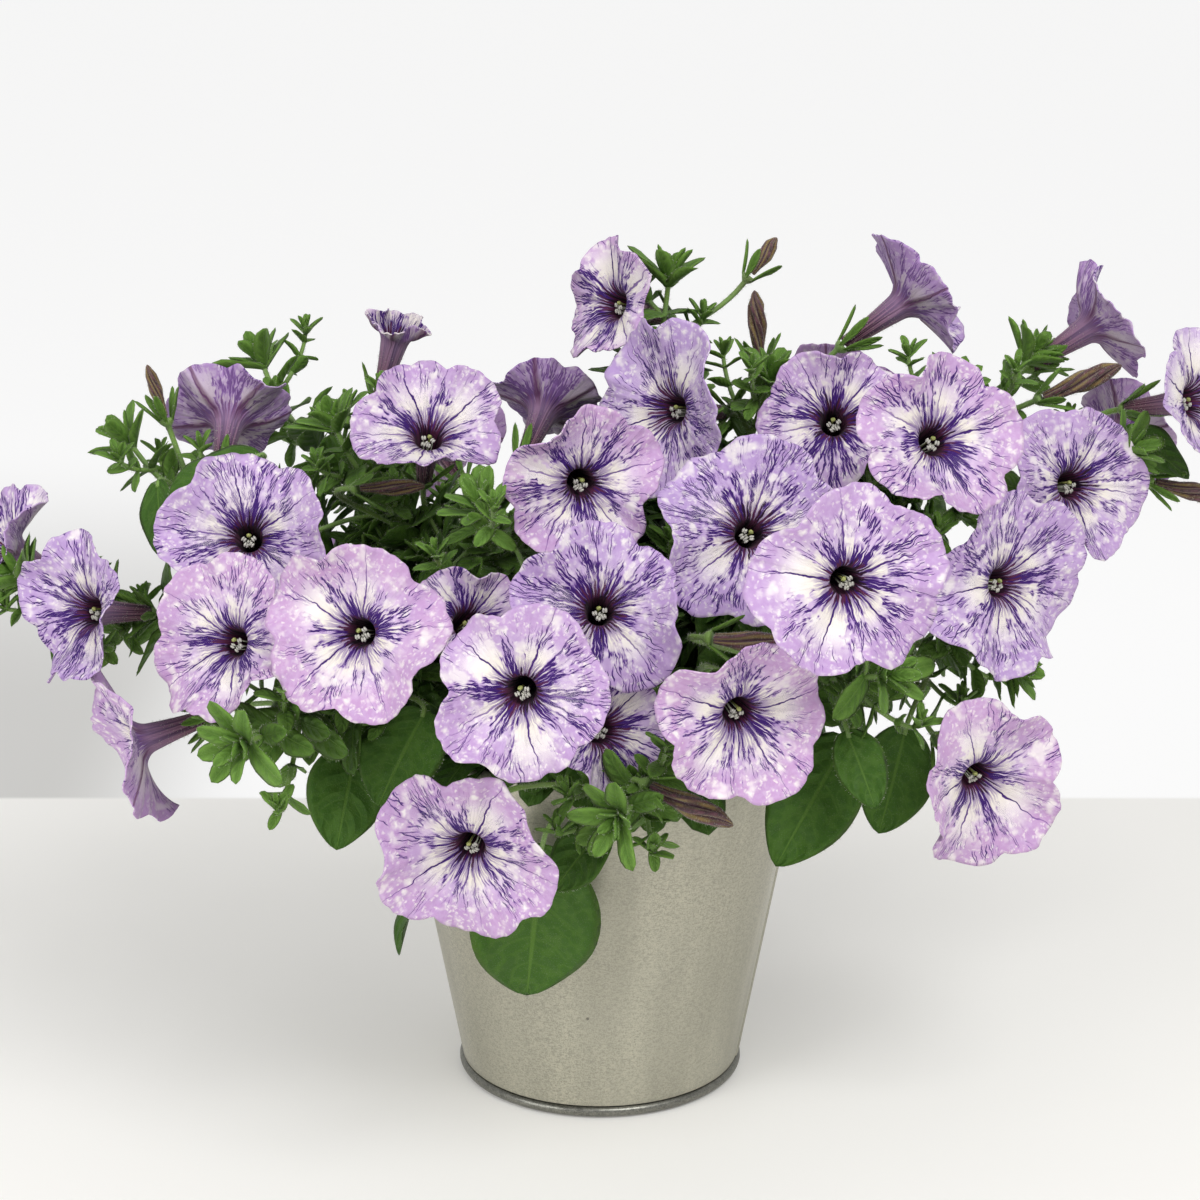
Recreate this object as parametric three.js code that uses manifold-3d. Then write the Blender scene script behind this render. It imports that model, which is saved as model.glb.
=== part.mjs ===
// A petunia in flower in a tapered sheet-metal pot that stands on the table.
// Millimetres, +Z up. The origin is the centre of the pot's underside; -Y is the front.
// Each leafy stem, bloom and bud is one closed body; stems stand in holes in the soil.

import * as THREE from 'three';
import { mergeVertices } from 'three/addons/utils/BufferGeometryUtils.js';
import Module from 'manifold-3d';

// ---- driving dimensions -------------------------------------------------
const potHeight = 140;
const baseRadius = 51.5;
const wallSlope = 0.186;
const wallThick = 1.2;
const rimHeight = 4.5;
const seamTurn = -8;
const seamWidth = 6;
const seamRise = 0.9;
const beadRadius = 53.6;
const beadHeight = 4.2;
const floorThick = 2.2;
const soilTop = 127;
const soilBottom = 6;
const stemDepth = 16;
const stemRadius = 2.1;
const stemThinning = 0.9;
const holeClearance = 0.6;
const gap = 0.3;
const potSides = 32;

const tubeLength = 27;
const tubeBaseRadius = 2.6;
const throatRadius = 6.4;
const throatDepth = 15;
const petalThick = 1;
const notchDepth = 0.13;
const lobeArch = 9;

const cupLength = 4;
const cupRadius = 3.6;
const leafThick = 1.4;
const tuftLeaves = 3;

const degree = Math.PI / 180;
const turnAll = 2 * Math.PI;

const wasm = await Module();
wasm.setup();

// ---- tables -------------------------------------------------------------
// Blooms: throat position, turn (0 faces the front, + to the right), tilt above level,
// spread of the limb, opening angle and curl of the petals (+ forward), stem it grows on.
const blooms = [
  ['bloom_far_left', -215, 0, 202, -62, 38, 50, 24, 6, 'far_left'],
  ['bloom_left_side', -179, -44, 191, -40, 14, 56, 24, 4, 'far_left'],
  ['bloom_left_low', -160, -64, 150, -76, -16, 60, 20, -10, 'low_left'],
  ['bloom_left_face', -124, -86, 193, -32, 18, 58, 20, 4, 'low_left'],
  ['bloom_left_upper', -120, -62, 223, 2, 26, 60, 16, 0, 'mid_left'],
  ['bloom_left_back', -137, 30, 242, 176, 34, 50, 24, 0, 'left_up'],
  ['bloom_front_left', -79, -111, 204, -14, 16, 62, 14, 0, 'front'],
  ['bloom_top_left', -60, -25, 250, 10, 50, 55, 20, 6, 'mid_left'],
  ['bloom_back_small', -77, 62, 268, 60, 72, 28, 54, 4, 'back_left'],
  ['bloom_back_top', -21, 52, 241, 158, 35, 45, 24, 0, 'top'],
  ['bloom_top_side', 5, 24, 287, -50, 18, 46, 18, 0, 'top'],
  ['bloom_top_front', 25, -20, 258, -44, 12, 64, 20, 0, 'top_right'],
  ['bloom_folded', -6, -67, 243, 10, 6, 54, 14, 20, 'front'],
  ['bloom_front_small', -44, -84, 199, 26, 30, 40, 22, 6, 'front'],
  ['bloom_front_low', -25, -148, 196, -6, 10, 57, 16, 0, 'front'],
  ['bloom_front_mid', 0, -105, 210, 4, 26, 57, 16, 0, 'front'],
  ['bloom_front_under', 1, -110, 170, 24, 16, 43, 18, 4, 'low_front'],
  ['bloom_right_face', 50, -82, 230, 6, 24, 65, 14, 0, 'right_front'],
  ['bloom_right_front', 78, -138, 229, 10, 6, 62, 14, 0, 'right_front'],
  ['bloom_right_upper', 82, -25, 255, 0, 26, 52, 18, 0, 'top_right'],
  ['bloom_right_upper_b', 111, -82, 262, 22, 28, 57, 18, 0, 'right'],
  ['bloom_right_back_up', 113, 45, 284, 100, 34, 54, 26, 0, 'right_back'],
  ['bloom_right_back', 183, 48, 274, 110, 28, 50, 24, 0, 'right_back'],
  ['bloom_far_right', 213, 2, 256, 50, 14, 52, 20, 0, 'far_right'],
  ['bloom_right_big', 138, -64, 207, 40, 10, 67, 14, -4, 'right_low'],
  ['bloom_right_behind', 168, -18, 230, 26, 14, 56, 14, 0, 'far_right'],
  ['bloom_front_right', 45, -135, 184, 20, -8, 58, 18, 0, 'right_front'],
  ['bloom_right_low', 130, -78, 141, 24, -12, 62, 20, 0, 'right_low'],
  ['bloom_low_front', -43, -131, 136, -14, -10, 62, 18, 0, 'low_front'],
  ['bloom_right_rear', 197, 52, 231, 128, 14, 46, 20, 0, 'right_back'],
  ['bloom_rear_left', -66, 122, 214, 206, 26, 60, 16, 0, 'back_left'],
  ['bloom_rear_mid', 18, 138, 190, 172, 10, 60, 14, 0, 'back'],
  ['bloom_rear_right', 92, 108, 226, 142, 24, 62, 14, 0, 'back'],
  ['bloom_rear_low', -120, 96, 168, 232, 0, 58, 18, 0, 'back_left'],
].map(([name, x, y, z, turn, tilt, spread, open, curl, stem], index) => ({
  name, at: [x, y, z], turn, tilt, spread, open, curl, stem, index,
}));

// Leafy stems: place of the hole, how far the stem leans out as it rises, tip and its way.
const stems = [
  ['far_left', -44, 4, [-206, -22, 197], [-0.8, -0.1, 0.6]],
  ['left_up', -40, 24, [-172, 16, 238], [-0.5, 0.1, 0.85]],
  ['low_left', -38, -22, [-118, -112, 166], [-0.4, -0.85, 0.1]],
  ['mid_left', -20, -8, [-96, 8, 246], [-0.3, -0.1, 0.95]],
  ['back_left', -22, 34, [-128, 62, 258], [-0.3, 0.3, 0.9]],
  ['top', -4, 14, [25, 26, 296], [0.1, 0.1, 1]],
  ['top_right', 14, 0, [60, -6, 266], [0.2, -0.1, 0.95]],
  ['front', -14, -34, [-40, -58, 232], [-0.1, -0.4, 0.9]],
  ['low_front', 2, -48, [6, -130, 147], [0.1, -0.9, -0.2]],
  ['right_front', 26, -30, [96, -88, 182], [0.6, -0.6, 0.3]],
  ['right', 32, -4, [126, -6, 262], [0.4, -0.2, 0.9]],
  ['far_right', 46, 14, [188, -8, 240], [0.8, -0.2, 0.6]],
  ['right_low', 44, -18, [146, -34, 168], [0.8, -0.4, -0.2]],
  ['right_back', 30, 30, [158, 34, 266], [0.5, 0.2, 0.85]],
  ['back', 6, 40, [30, 104, 236], [0.1, 0.6, 0.8]],
].map(([name, x, y, tip, way], index) => ({ name, x, y, tip, way, index }));

// Closed buds and faded corollas: where the middle is, which way they point, length, width.
const buds = [
  ['bud_left_up', -162, 20, 256, [-0.3, 0, 1], 20, 5, 'left_up'],
  ['bud_mid_left', -73, -25, 231, [1, -0.3, 0.1], 24, 6, 'mid_left'],
  ['bud_top', 60, 35, 303, [0.6, 0.2, 0.8], 16, 6, 'top'],
  ['bud_top_right', 57, 20, 280, [-0.1, 0, 1], 26, 7, 'top_right'],
  ['bud_right_back', 174, 8, 262, [0.8, -0.2, 0.4], 30, 8, 'right_back'],
  ['bud_far_right', 215, 4, 222, [0.97, 0, -0.25], 28, 7, 'far_right'],
  ['bud_front_right', 50, -112, 201, [0.9, -0.3, 0], 26, 8, 'right_front'],
  ['bud_low_front', 30, -128, 150, [0.9, -0.3, -0.35], 30, 8, 'low_front'],
].map(([name, x, y, z, way, length, width, stem], index) => ({
  name, at: [x, y, z], way, length, width, stem, index,
}));

// Large leaves: stem they grow on, base of the blade, tip, width, way the face looks.
const largeLeaves = [
  ['low_front', [-20, -86, 120], [-25, -82, 66], 39, [0.05, -1, 0.1]],
  ['low_front', [2, -108, 136], [-14, -114, 118], 17, [-0.4, -1, 0.5]],
  ['right_low', [86, -62, 150], [64, -84, 118], 27, [0.1, -0.8, 0.6]],
  ['right_low', [108, -46, 148], [100, -62, 120], 24, [0.2, -0.9, 0.4]],
  ['right_low', [84, -84, 160], [92, -98, 142], 16, [0.2, -1, 0.3]],
  ['low_left', [-60, -74, 164], [-74, -92, 142], 26, [-0.2, -0.8, 0.6]],
  ['low_left', [-84, -66, 150], [-90, -86, 124], 24, [-0.1, -0.9, 0.5]],
  ['left_up', [-122, -6, 238], [-148, -24, 232], 16, [-0.1, -0.6, 0.8]],
  ['left_up', [-160, 2, 226], [-158, -14, 206], 14, [-0.5, -0.8, 0.2]],
  ['far_left', [-186, -24, 180], [-192, -34, 168], 12, [-0.3, -0.9, 0.3]],
  ['far_right', [190, 8, 244], [210, -2, 232], 14, [0.3, -0.7, 0.7]],
  ['right_low', [122, -40, 186], [142, -56, 182], 13, [0, -0.6, 0.8]],
  ['back', [30, 84, 136], [34, 96, 98], 30, [0, 1, 0.2]],
  ['back_left', [-70, 50, 134], [-84, 66, 104], 26, [-0.7, 0.6, 0.3]],
  ['right_back', [84, 42, 138], [100, 54, 108], 28, [0.8, 0.5, 0.3]],
  ['back_left', [-68, 40, 62], [-80, 30, 34], 20, [-0.8, -0.2, 0.4]],
];

// ---- small helpers ------------------------------------------------------
const vec = (x, y, z) => new THREE.Vector3(x, y, z);
const from = (list) => new THREE.Vector3(...list);
const along = (start, way, length) => start.clone().addScaledVector(way, length);
const upward = vec(0, 0, 1);

// A repeatable draw between 0 and 1.
function draw(a, b) {
  const s = Math.sin(a * 12.9898 + b * 78.233 + 3.7) * 43758.5453;
  return s - Math.floor(s);
}

function swing(a, b, size) {
  return (2 * draw(a, b) - 1) * size;
}

function solid(points, faces) {
  const make = (list) => new wasm.Manifold(new wasm.Mesh({
    numProp: 3,
    vertProperties: new Float32Array(points.flatMap((p) => [p.x, p.y, p.z])),
    triVerts: new Uint32Array(list.flat()),
  }));
  const body = make(faces);
  if (body.volume() > 0) {
    return body;
  }
  return make(faces.map(([a, b, c]) => [a, c, b]));
}

function ringFaces(first, second, count) {
  const faces = [];
  for (let i = 0; i < count; i += 1) {
    const j = (i + 1) % count;
    faces.push([first + i, first + j, second + j], [first + i, second + j, second + i]);
  }
  return faces;
}

// Joins a ring of n points to a ring of 2n points.
function doublingFaces(coarse, fine, count) {
  const faces = [];
  for (let i = 0; i < count; i += 1) {
    const j = (i + 1) % count;
    const left = fine + 2 * i;
    const middle = left + 1;
    const right = fine + ((2 * i + 2) % (2 * count));
    faces.push([coarse + i, middle, left], [coarse + i, coarse + j, middle]);
    faces.push([coarse + j, right, middle]);
  }
  return faces;
}

function fanFaces(ring, count, turned) {
  const faces = [];
  for (let i = 1; i < count - 1; i += 1) {
    faces.push(turned ? [ring, ring + i + 1, ring + i] : [ring, ring + i, ring + i + 1]);
  }
  return faces;
}

// The rings of a round bar that follows a line of points.
function barRings(line, radii, sides) {
  let across = null;
  return line.map((point, i) => {
    const before = line[Math.max(i - 1, 0)];
    const after = line[Math.min(i + 1, line.length - 1)];
    const way = after.clone().sub(before).normalize();
    if (across === null) {
      across = vec(0.31, 0.17, 0.93).cross(way);
    }
    across.addScaledVector(way, -across.dot(way)).normalize();
    const other = way.clone().cross(across);
    const ring = [];
    for (let k = 0; k < sides; k += 1) {
      const a = (turnAll * k) / sides;
      ring.push(point.clone().addScaledVector(across, radii[i] * Math.cos(a))
        .addScaledVector(other, radii[i] * Math.sin(a)));
    }
    return ring;
  });
}

function bar(line, radii, sides) {
  const rings = barRings(line, radii, sides);
  const faces = fanFaces(0, sides, true);
  for (let i = 0; i < rings.length - 1; i += 1) {
    faces.push(...ringFaces(i * sides, (i + 1) * sides, sides));
  }
  faces.push(...fanFaces((rings.length - 1) * sides, sides, false));
  return solid(rings.flat(), faces);
}

function curve(a, b, c, d, count) {
  return new THREE.CubicBezierCurve3(a, b, c, d).getPoints(count);
}

// ---- pot and soil -------------------------------------------------------
const wallRadius = (z) => baseRadius + wallSlope * z;

function lathe(profile) {
  const outline = profile.map(([r, z]) => new THREE.Vector2(r, z));
  const geometry = new THREE.LatheGeometry(outline, potSides);
  geometry.deleteAttribute('normal');
  geometry.deleteAttribute('uv');
  geometry.rotateX(Math.PI / 2);
  const merged = mergeVertices(geometry, 1e-4);
  const places = merged.attributes.position;
  const points = [];
  for (let i = 0; i < places.count; i += 1) {
    points.push(new THREE.Vector3().fromBufferAttribute(places, i));
  }
  const faces = [];
  const index = merged.index.array;
  for (let i = 0; i < index.length; i += 3) {
    const face = [index[i], index[i + 1], index[i + 2]];
    if (new Set(face).size === 3) {
      faces.push(face);
    }
  }
  return solid(points, faces);
}

function potWall() {
  const low = beadHeight + gap;
  const neck = potHeight - rimHeight;
  const rim = wallRadius(potHeight);
  const shell = lathe([
    [wallRadius(low), low],
    [wallRadius(neck), neck],
    [rim + 1.5, neck + 0.3],
    [rim + 2.2, potHeight - 2.2],
    [rim + 1.2, potHeight - 0.4],
    [rim - 0.6, potHeight],
    [rim - 1.6, potHeight - 1.6],
    [wallRadius(neck) - wallThick, neck],
    [wallRadius(low) - wallThick, low],
    [wallRadius(low), low],
  ]);
  return shell.add(lockSeam(low, neck - 0.5));
}

// The lock seam: a flat strip folded over on the wall, on the right-hand side.
function lockSeam(low, high) {
  const half = seamWidth / 2;
  const section = [[-0.8, -half], [-0.8, half], [seamRise, half - 0.4], [seamRise, 0.4 - half]];
  const strip = [low, high].flatMap((z) => section.map(([out, side]) => {
    const radius = wallRadius(z) + out;
    const a = seamTurn * degree + side / radius;
    return vec(radius * Math.cos(a), radius * Math.sin(a), z);
  }));
  const faces = [...fanFaces(0, 4, true), ...ringFaces(0, 4, 4), ...fanFaces(4, 4, false)];
  return solid(strip, faces);
}

// A flat disc with a rolled bead that stands up around its edge.
function potBase() {
  const r = beadRadius;
  return lathe([
    [0, 0],
    [r - 1.4, 0],
    [r, 1],
    [r, 3.2],
    [r - 1.6, beadHeight],
    [r - 3.6, beadHeight],
    [r - 4.2, floorThick],
    [0, floorThick],
    [0, 0],
  ]);
}

function stemRoot(stem) {
  return [vec(stem.x, stem.y, soilTop - stemDepth), vec(stem.x, stem.y, soilTop + 3)];
}

// Soil up to a little under the rim, lower at its edge, with a plain hole for each stem.
function soil() {
  const inner = (z) => wallRadius(z) - wallThick - gap;
  const edge = soilTop - 3;
  const body = lathe([
    [0, soilBottom],
    [inner(soilBottom), soilBottom],
    [inner(edge), edge],
    [inner(edge) - 8, soilTop - 1],
    [0, soilTop],
    [0, soilBottom],
  ]);
  const radius = stemRadius + holeClearance;
  return stems.reduce((left, stem) => {
    const [low] = stemRoot(stem);
    const hole = [along(low, upward, -gap), along(low, upward, stemDepth + 8)];
    return left.subtract(bar(hole, [radius, radius], 6));
  }, body);
}

// ---- blooms -------------------------------------------------------------
function frameOf(turn, tilt) {
  const [st, ct] = [Math.sin(turn * degree), Math.cos(turn * degree)];
  const [se, ce] = [Math.sin(tilt * degree), Math.cos(tilt * degree)];
  return {
    right: vec(ct, st, 0),
    up: vec(-st * se, ct * se, ce),
    out: vec(st * ce, -ct * ce, se),
  };
}

// How long, how open and how curled the limb is at one angle around the throat.
function limbShape(bloom, angle) {
  const n = bloom.index + 1;
  const five = Math.cos(5 * angle);
  const seam = ((1 - five) / 2) ** 4;
  const uneven = 0.05 * Math.sin(2 * angle + 6 * draw(n, 1))
    + 0.03 * Math.sin(3 * angle + 6 * draw(n, 2));
  const reach = (bloom.spread / 2 - throatRadius) * 1.04;
  const length = reach * (1 - notchDepth * seam + uneven);
  const open = bloom.open + 7 * Math.sin(angle + 6 * draw(n, 3));
  const curl = bloom.curl - lobeArch * five
    + 22 * Math.sin(2 * angle + 6 * draw(n, 4))
    + 16 * Math.sin(3 * angle + 6 * draw(n, 5));
  return { length, open: open * degree, curl: curl * degree };
}

// Distance from the axis and height over the throat, part of the way out on the limb.
function limbPoint(shape, part, lift) {
  const { length, open, curl } = shape;
  const bend = Math.abs(curl) < 1e-3 ? 1e-3 : curl;
  const turn = open + bend * part;
  const r = throatRadius + (length * (Math.sin(turn) - Math.sin(open))) / bend;
  const z = (length * (Math.cos(open) - Math.cos(turn))) / bend;
  return [r - Math.sin(turn) * lift, z + Math.cos(turn) * lift];
}

function bloomPoint(bloom, frame, angle, r, z) {
  const a = angle + bloom.index * 1.7;
  return from(bloom.at)
    .addScaledVector(frame.right, r * Math.cos(a))
    .addScaledVector(frame.up, r * Math.sin(a))
    .addScaledVector(frame.out, z);
}

function corolla(bloom) {
  const frame = frameOf(bloom.turn, bloom.tilt);
  const points = [];
  const rings = [];
  const addRing = (count, place) => {
    rings.push([points.length, count]);
    for (let i = 0; i < count; i += 1) {
      const angle = (turnAll * i) / count;
      const [r, z] = place(angle);
      points.push(bloomPoint(bloom, frame, angle, r, z));
    }
  };
  const limb = (part, lift) => (angle) => limbPoint(limbShape(bloom, angle), part, lift);
  addRing(5, () => [tubeBaseRadius, -tubeLength]);
  addRing(10, () => [throatRadius, -1.5]);
  addRing(10, limb(0.38, -petalThick / 2));
  addRing(10, limb(0.74, -petalThick / 2));
  addRing(20, limb(1, 0));
  addRing(10, limb(0.74, petalThick / 2));
  addRing(10, limb(0.38, petalThick / 2));
  addRing(5, () => [throatRadius - 1.4, -1.5]);
  points.push(bloomPoint(bloom, frame, 0, 0, -throatDepth));
  const faces = fanFaces(0, 5, true);
  for (let i = 0; i < rings.length - 1; i += 1) {
    const [[a, m], [b, n]] = [rings[i], rings[i + 1]];
    if (m === n) {
      // Both faces of the limb are split into triangles alike.
      const outside = i < 4;
      const band = outside ? ringFaces(a, b, m) : ringFaces(b, a, m);
      faces.push(...(outside ? band : band.map(([p, q, r]) => [p, r, q])));
    } else if (m < n) {
      faces.push(...doublingFaces(a, b, m));
    } else {
      faces.push(...doublingFaces(b, a, n).map(([p, q, r]) => [p, r, q]));
    }
  }
  const last = rings[rings.length - 1][0];
  for (let i = 0; i < 5; i += 1) {
    faces.push([last + i, last + ((i + 1) % 5), points.length - 1]);
  }
  return solid(points, faces);
}

// ---- buds ---------------------------------------------------------------
function budLine(bud) {
  const way = from(bud.way).normalize();
  const side = way.clone().cross(vec(0.2, 0.1, 1)).normalize();
  const at = from(bud.at);
  return [-0.5, -0.3, 0, 0.3, 0.5].map((part, i) => (
    along(at, way, part * bud.length).addScaledVector(side, [0, 0.3, 0, -0.6, -0.2][i])
  ));
}

function budBody(bud) {
  const w = bud.width / 2;
  return bar(budLine(bud), [w * 0.45, w * 0.62, w, w * 0.82, w * 0.25], 6);
}

// ---- leaves and stems ---------------------------------------------------
// A leaf blade with a raised midrib that droops towards its tip. Each station gives how
// far along it lies and its half width; both faces are split into triangles alike.
const narrowLeaf = [[0.58, 0.5]];
const plainLeaf = [[0.36, 0.44], [0.74, 0.42]];
const largeLeaf = [[0.16, 0.3], [0.42, 0.5], [0.76, 0.36]];

function leafBody({ root, way, face, length, width, stations, droop }) {
  const across = way.clone().cross(face).normalize();
  const up = across.clone().cross(way).normalize();
  const at = (part) => along(root, way, length * part)
    .addScaledVector(up, -droop * length * part * part);
  const points = [along(root, way, -1)];
  for (const [part, half] of stations) {
    const middle = at(part);
    points.push(along(middle, across, -width * half).addScaledVector(up, width * 0.1));
    points.push(along(middle, up, leafThick / 2));
    points.push(along(middle, across, width * half).addScaledVector(up, width * 0.1));
    points.push(along(middle, up, -leafThick / 2));
  }
  points.push(at(1));
  const faces = [[0, 2, 1], [0, 3, 2], [0, 4, 3], [0, 1, 4]];
  let [l, t, r, b] = [1, 2, 3, 4];
  for (let i = 1; i < stations.length; i += 1) {
    faces.push([l, t, l + 4], [t, t + 4, l + 4], [t, r, t + 4], [r, r + 4, t + 4]);
    faces.push([b, l, l + 4], [b, l + 4, b + 4], [r, b, b + 4], [r, b + 4, r + 4]);
    [l, t, r, b] = [l + 4, t + 4, r + 4, b + 4];
  }
  faces.push([l, t, b + 1], [t, r, b + 1], [r, b, b + 1], [b, l, b + 1]);
  return solid(points, faces);
}

function stemLine(stem, bend) {
  const [low, high] = stemRoot(stem);
  const tip = from(stem.tip);
  const way = from(stem.way).normalize();
  const reach = tip.distanceTo(high);
  const side = vec(-(tip.y - high.y), tip.x - high.x, 0).normalize();
  const rise = along(high, upward, reach * 0.42).addScaledVector(side, bend[0]);
  const near = along(tip, way, -reach * 0.38).addScaledVector(side, bend[1]);
  near.z += bend[2];
  return [low, ...curve(high, rise, near, tip, 7)];
}

const stemBends = [];
for (const lift of [0, 12, -12, 24, -24]) {
  for (const near of [0, 14, -14, 28, -28]) {
    for (const rise of [0, 10, -10, 20, -20]) {
      stemBends.push([rise, near, lift]);
    }
  }
}

const stemRadii = (line) => line.map((p, i) => (
  stemRadius - (stemThinning * Math.max(i - 1, 0)) / (line.length - 2)
));

// A point part of the way along a line, and the way that the line runs there.
function spotOn(line, spot) {
  const whole = Math.floor(spot);
  const start = line[whole].clone().lerp(line[whole + 1], spot - whole);
  const grow = line[whole + 1].clone().sub(line[whole]).normalize();
  return [start, grow];
}

// The flower stalk: from a point on the stem to the back of a bloom or bud.
function stalkLine(line, spot, end, way, push, count) {
  const [start, grow] = spotOn(line, spot);
  const reach = end.distanceTo(start);
  const out = along(start, grow, reach * 0.3).add(from(push).multiplyScalar(reach));
  const back = along(end, way, -Math.min(reach * 0.45, 24));
  return curve(start, out, back, end, count);
}

const flowerStalk = [0.5, 1, 1, 1];
const leafStalk = [0.5, 1.1, 1.1];

// A flower stalk that ends in a cup with five narrow sepals around the tube.
function stalkBody(line, radii, calyx) {
  if (calyx === null) {
    return bar(line, radii, 5);
  }
  const rings = barRings(line, radii, 5);
  const end = line[line.length - 1];
  const { way, length, spread } = calyx;
  const middle = rings[rings.length - 1].map((p) => {
    const out = p.clone().sub(end);
    return out.addScaledVector(way, -out.dot(way)).normalize();
  });
  const cup = along(end, way, cupLength);
  const outer = middle.map((out) => along(along(cup, way, -1.7), out, cupRadius));
  const valleys = middle.map((out, k) => {
    const between = out.clone().add(middle[(k + 1) % 5]).normalize();
    return along(cup, between, cupRadius - 0.5);
  });
  const tips = middle.map((out) => along(along(cup, way, length), out, spread));
  const points = [...rings.flat(), ...outer, ...valleys, ...tips];
  const faces = fanFaces(0, 5, true);
  for (let i = 0; i < rings.length; i += 1) {
    faces.push(...ringFaces(i * 5, (i + 1) * 5, 5));
  }
  const [o, v, t] = [rings.length * 5, rings.length * 5 + 5, rings.length * 5 + 10];
  for (let k = 0; k < 5; k += 1) {
    const next = (k + 1) % 5;
    const last = (k + 4) % 5;
    faces.push([o + k, o + next, v + k], [o + k, v + k, t + k], [o + k, t + k, v + last]);
    faces.push([v + last, t + k, v + k]);
  }
  faces.push(...fanFaces(v, 5, false));
  return solid(points, faces);
}

const stalkPushes = [];
for (const size of [0, 0.25, 0.5]) {
  for (const x of [0, 1, -1]) {
    for (const y of [0, 1, -1]) {
      for (const z of [0, 1, -1]) {
        stalkPushes.push([x * size, y * size, z * size]);
      }
    }
  }
}

// ---- putting the plant together ----------------------------------------
const placed = [];

function place(name, body) {
  placed.push({ name, body, box: body.boundingBox() });
}

function boxesMeet(a, b, room) {
  return [0, 1, 2].every((k) => a.min[k] < b.max[k] + room && b.min[k] < a.max[k] + room);
}

function clears(body, name) {
  const box = body.boundingBox();
  return placed.every((other) => other.name === name
    || !boxesMeet(box, other.box, gap)
    || other.body.minGap(body, 2 * gap) >= 0.8 * gap);
}

function paint(color, roughness, metalness) {
  return () => new THREE.MeshStandardMaterial({ color, roughness, metalness });
}

const metalPaint = paint(0xb4b0a4, 0.42, 0.9);
const soilPaint = paint(0x3a2a1e, 0.95, 0);
const leafPaint = paint(0x4f8a3a, 0.6, 0);
const petalPaint = paint(0xb79bdc, 0.55, 0);
const budPaint = paint(0x6a4a5c, 0.6, 0);

const part = new THREE.Group();
part.name = 'potted_petunia';

function addNode(name, body, material) {
  const mesh = body.getMesh();
  const geometry = new THREE.BufferGeometry();
  const count = mesh.vertProperties.length / 3;
  const position = new Float32Array(count * 3);
  for (let i = 0; i < count; i += 1) {
    for (let k = 0; k < 3; k += 1) {
      position[3 * i + k] = mesh.vertProperties[mesh.numProp * i + k];
    }
  }
  geometry.setAttribute('position', new THREE.BufferAttribute(position, 3));
  geometry.setIndex([...mesh.triVerts]);
  geometry.computeVertexNormals();
  const node = new THREE.Mesh(geometry, material());
  node.name = name;
  part.add(node);
}

function placeNode(name, body, material) {
  place(name, body);
  addNode(name, body, material);
}

placeNode('pot_wall', potWall(), metalPaint);
placeNode('pot_base', potBase(), metalPaint);
placeNode('potting_soil', soil(), soilPaint);
for (const bloom of blooms) {
  placeNode(bloom.name, corolla(bloom), petalPaint);
}
for (const bud of buds) {
  placeNode(bud.name, budBody(bud), budPaint);
}

const missing = [];
const grown = stems.map((stem) => {
  const grow = (bend) => {
    const line = stemLine(stem, bend);
    const body = bar(line, stemRadii(line), 5);
    return { stem, line, whole: body, bodies: [body] };
  };
  for (const bend of stemBends) {
    const owner = grow(bend);
    if (clears(owner.whole, stem.name)) {
      place(stem.name, owner.whole);
      return owner;
    }
  }
  missing.push(stem.name);
  return grow(stemBends[0]);
});

// Fuses new pieces onto a stem if the result is one body without a pocket.
function fuse(owner, bodies) {
  const whole = wasm.Manifold.union([owner.whole, ...bodies]);
  if (whole.decompose().length !== 1) {
    return false;
  }
  owner.whole = whole;
  for (const body of bodies) {
    owner.bodies.push(body);
    place(owner.stem.name, body);
  }
  return true;
}

// Grows a stalk from the best spot on the stem that leaves it clear of the rest.
function addStalk(owner, end, way, calyx, blade) {
  const choices = [];
  for (let spot = 2.3; spot < 7.8; spot += 0.5) {
    for (const push of stalkPushes) {
      choices.push([spot, push]);
    }
  }
  const [wanted, radii] = calyx === null ? [22, leafStalk] : [42, flowerStalk];
  const cost = ([spot, push]) => {
    const [start] = spotOn(owner.line, spot);
    return Math.abs(start.distanceTo(end) - wanted) + 30 * Math.hypot(...push);
  };
  choices.sort((a, b) => cost(a) - cost(b));
  return choices.some(([spot, push]) => {
    const line = stalkLine(owner.line, spot, end, way, push, radii.length - 1);
    const body = stalkBody(line, radii, calyx);
    return clears(body, owner.stem.name) && fuse(owner, [body, ...blade]);
  });
}

// The cup stands a small gap behind the flower; long sepals give way to shorter ones.
function addFlowerStalk(name, stemName, back, way, length, spread) {
  const owner = grown.find((g) => g.stem.name === stemName);
  const end = along(back, way, -gap - cupLength);
  for (const part of [1, 0.75, 0.5]) {
    const calyx = { way, length: length * part, spread: 3 + spread * part };
    if (addStalk(owner, end, way, calyx, [])) {
      return;
    }
  }
  missing.push(name);
}

for (const bloom of blooms) {
  const { out } = frameOf(bloom.turn, bloom.tilt);
  const back = along(from(bloom.at), out, -tubeLength);
  addFlowerStalk(bloom.name, bloom.stem, back, out, 13, 5);
}
for (const bud of buds) {
  const line = budLine(bud);
  const way = line[1].clone().sub(line[0]).normalize();
  addFlowerStalk(bud.name, bud.stem, line[0], way, 10, 4);
}

// ---- leaves along the stems and in tufts at their tips ------------------
function tryLeaf(owner, choices) {
  const { name } = owner.stem;
  for (const shape of choices) {
    const body = leafBody(shape);
    const own = owner.bodies.slice(1)
      .every((other) => other.intersect(body).volume() < 0.3);
    if (own && clears(body, name) && fuse(owner, [body])) {
      return true;
    }
  }
  return false;
}

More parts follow.
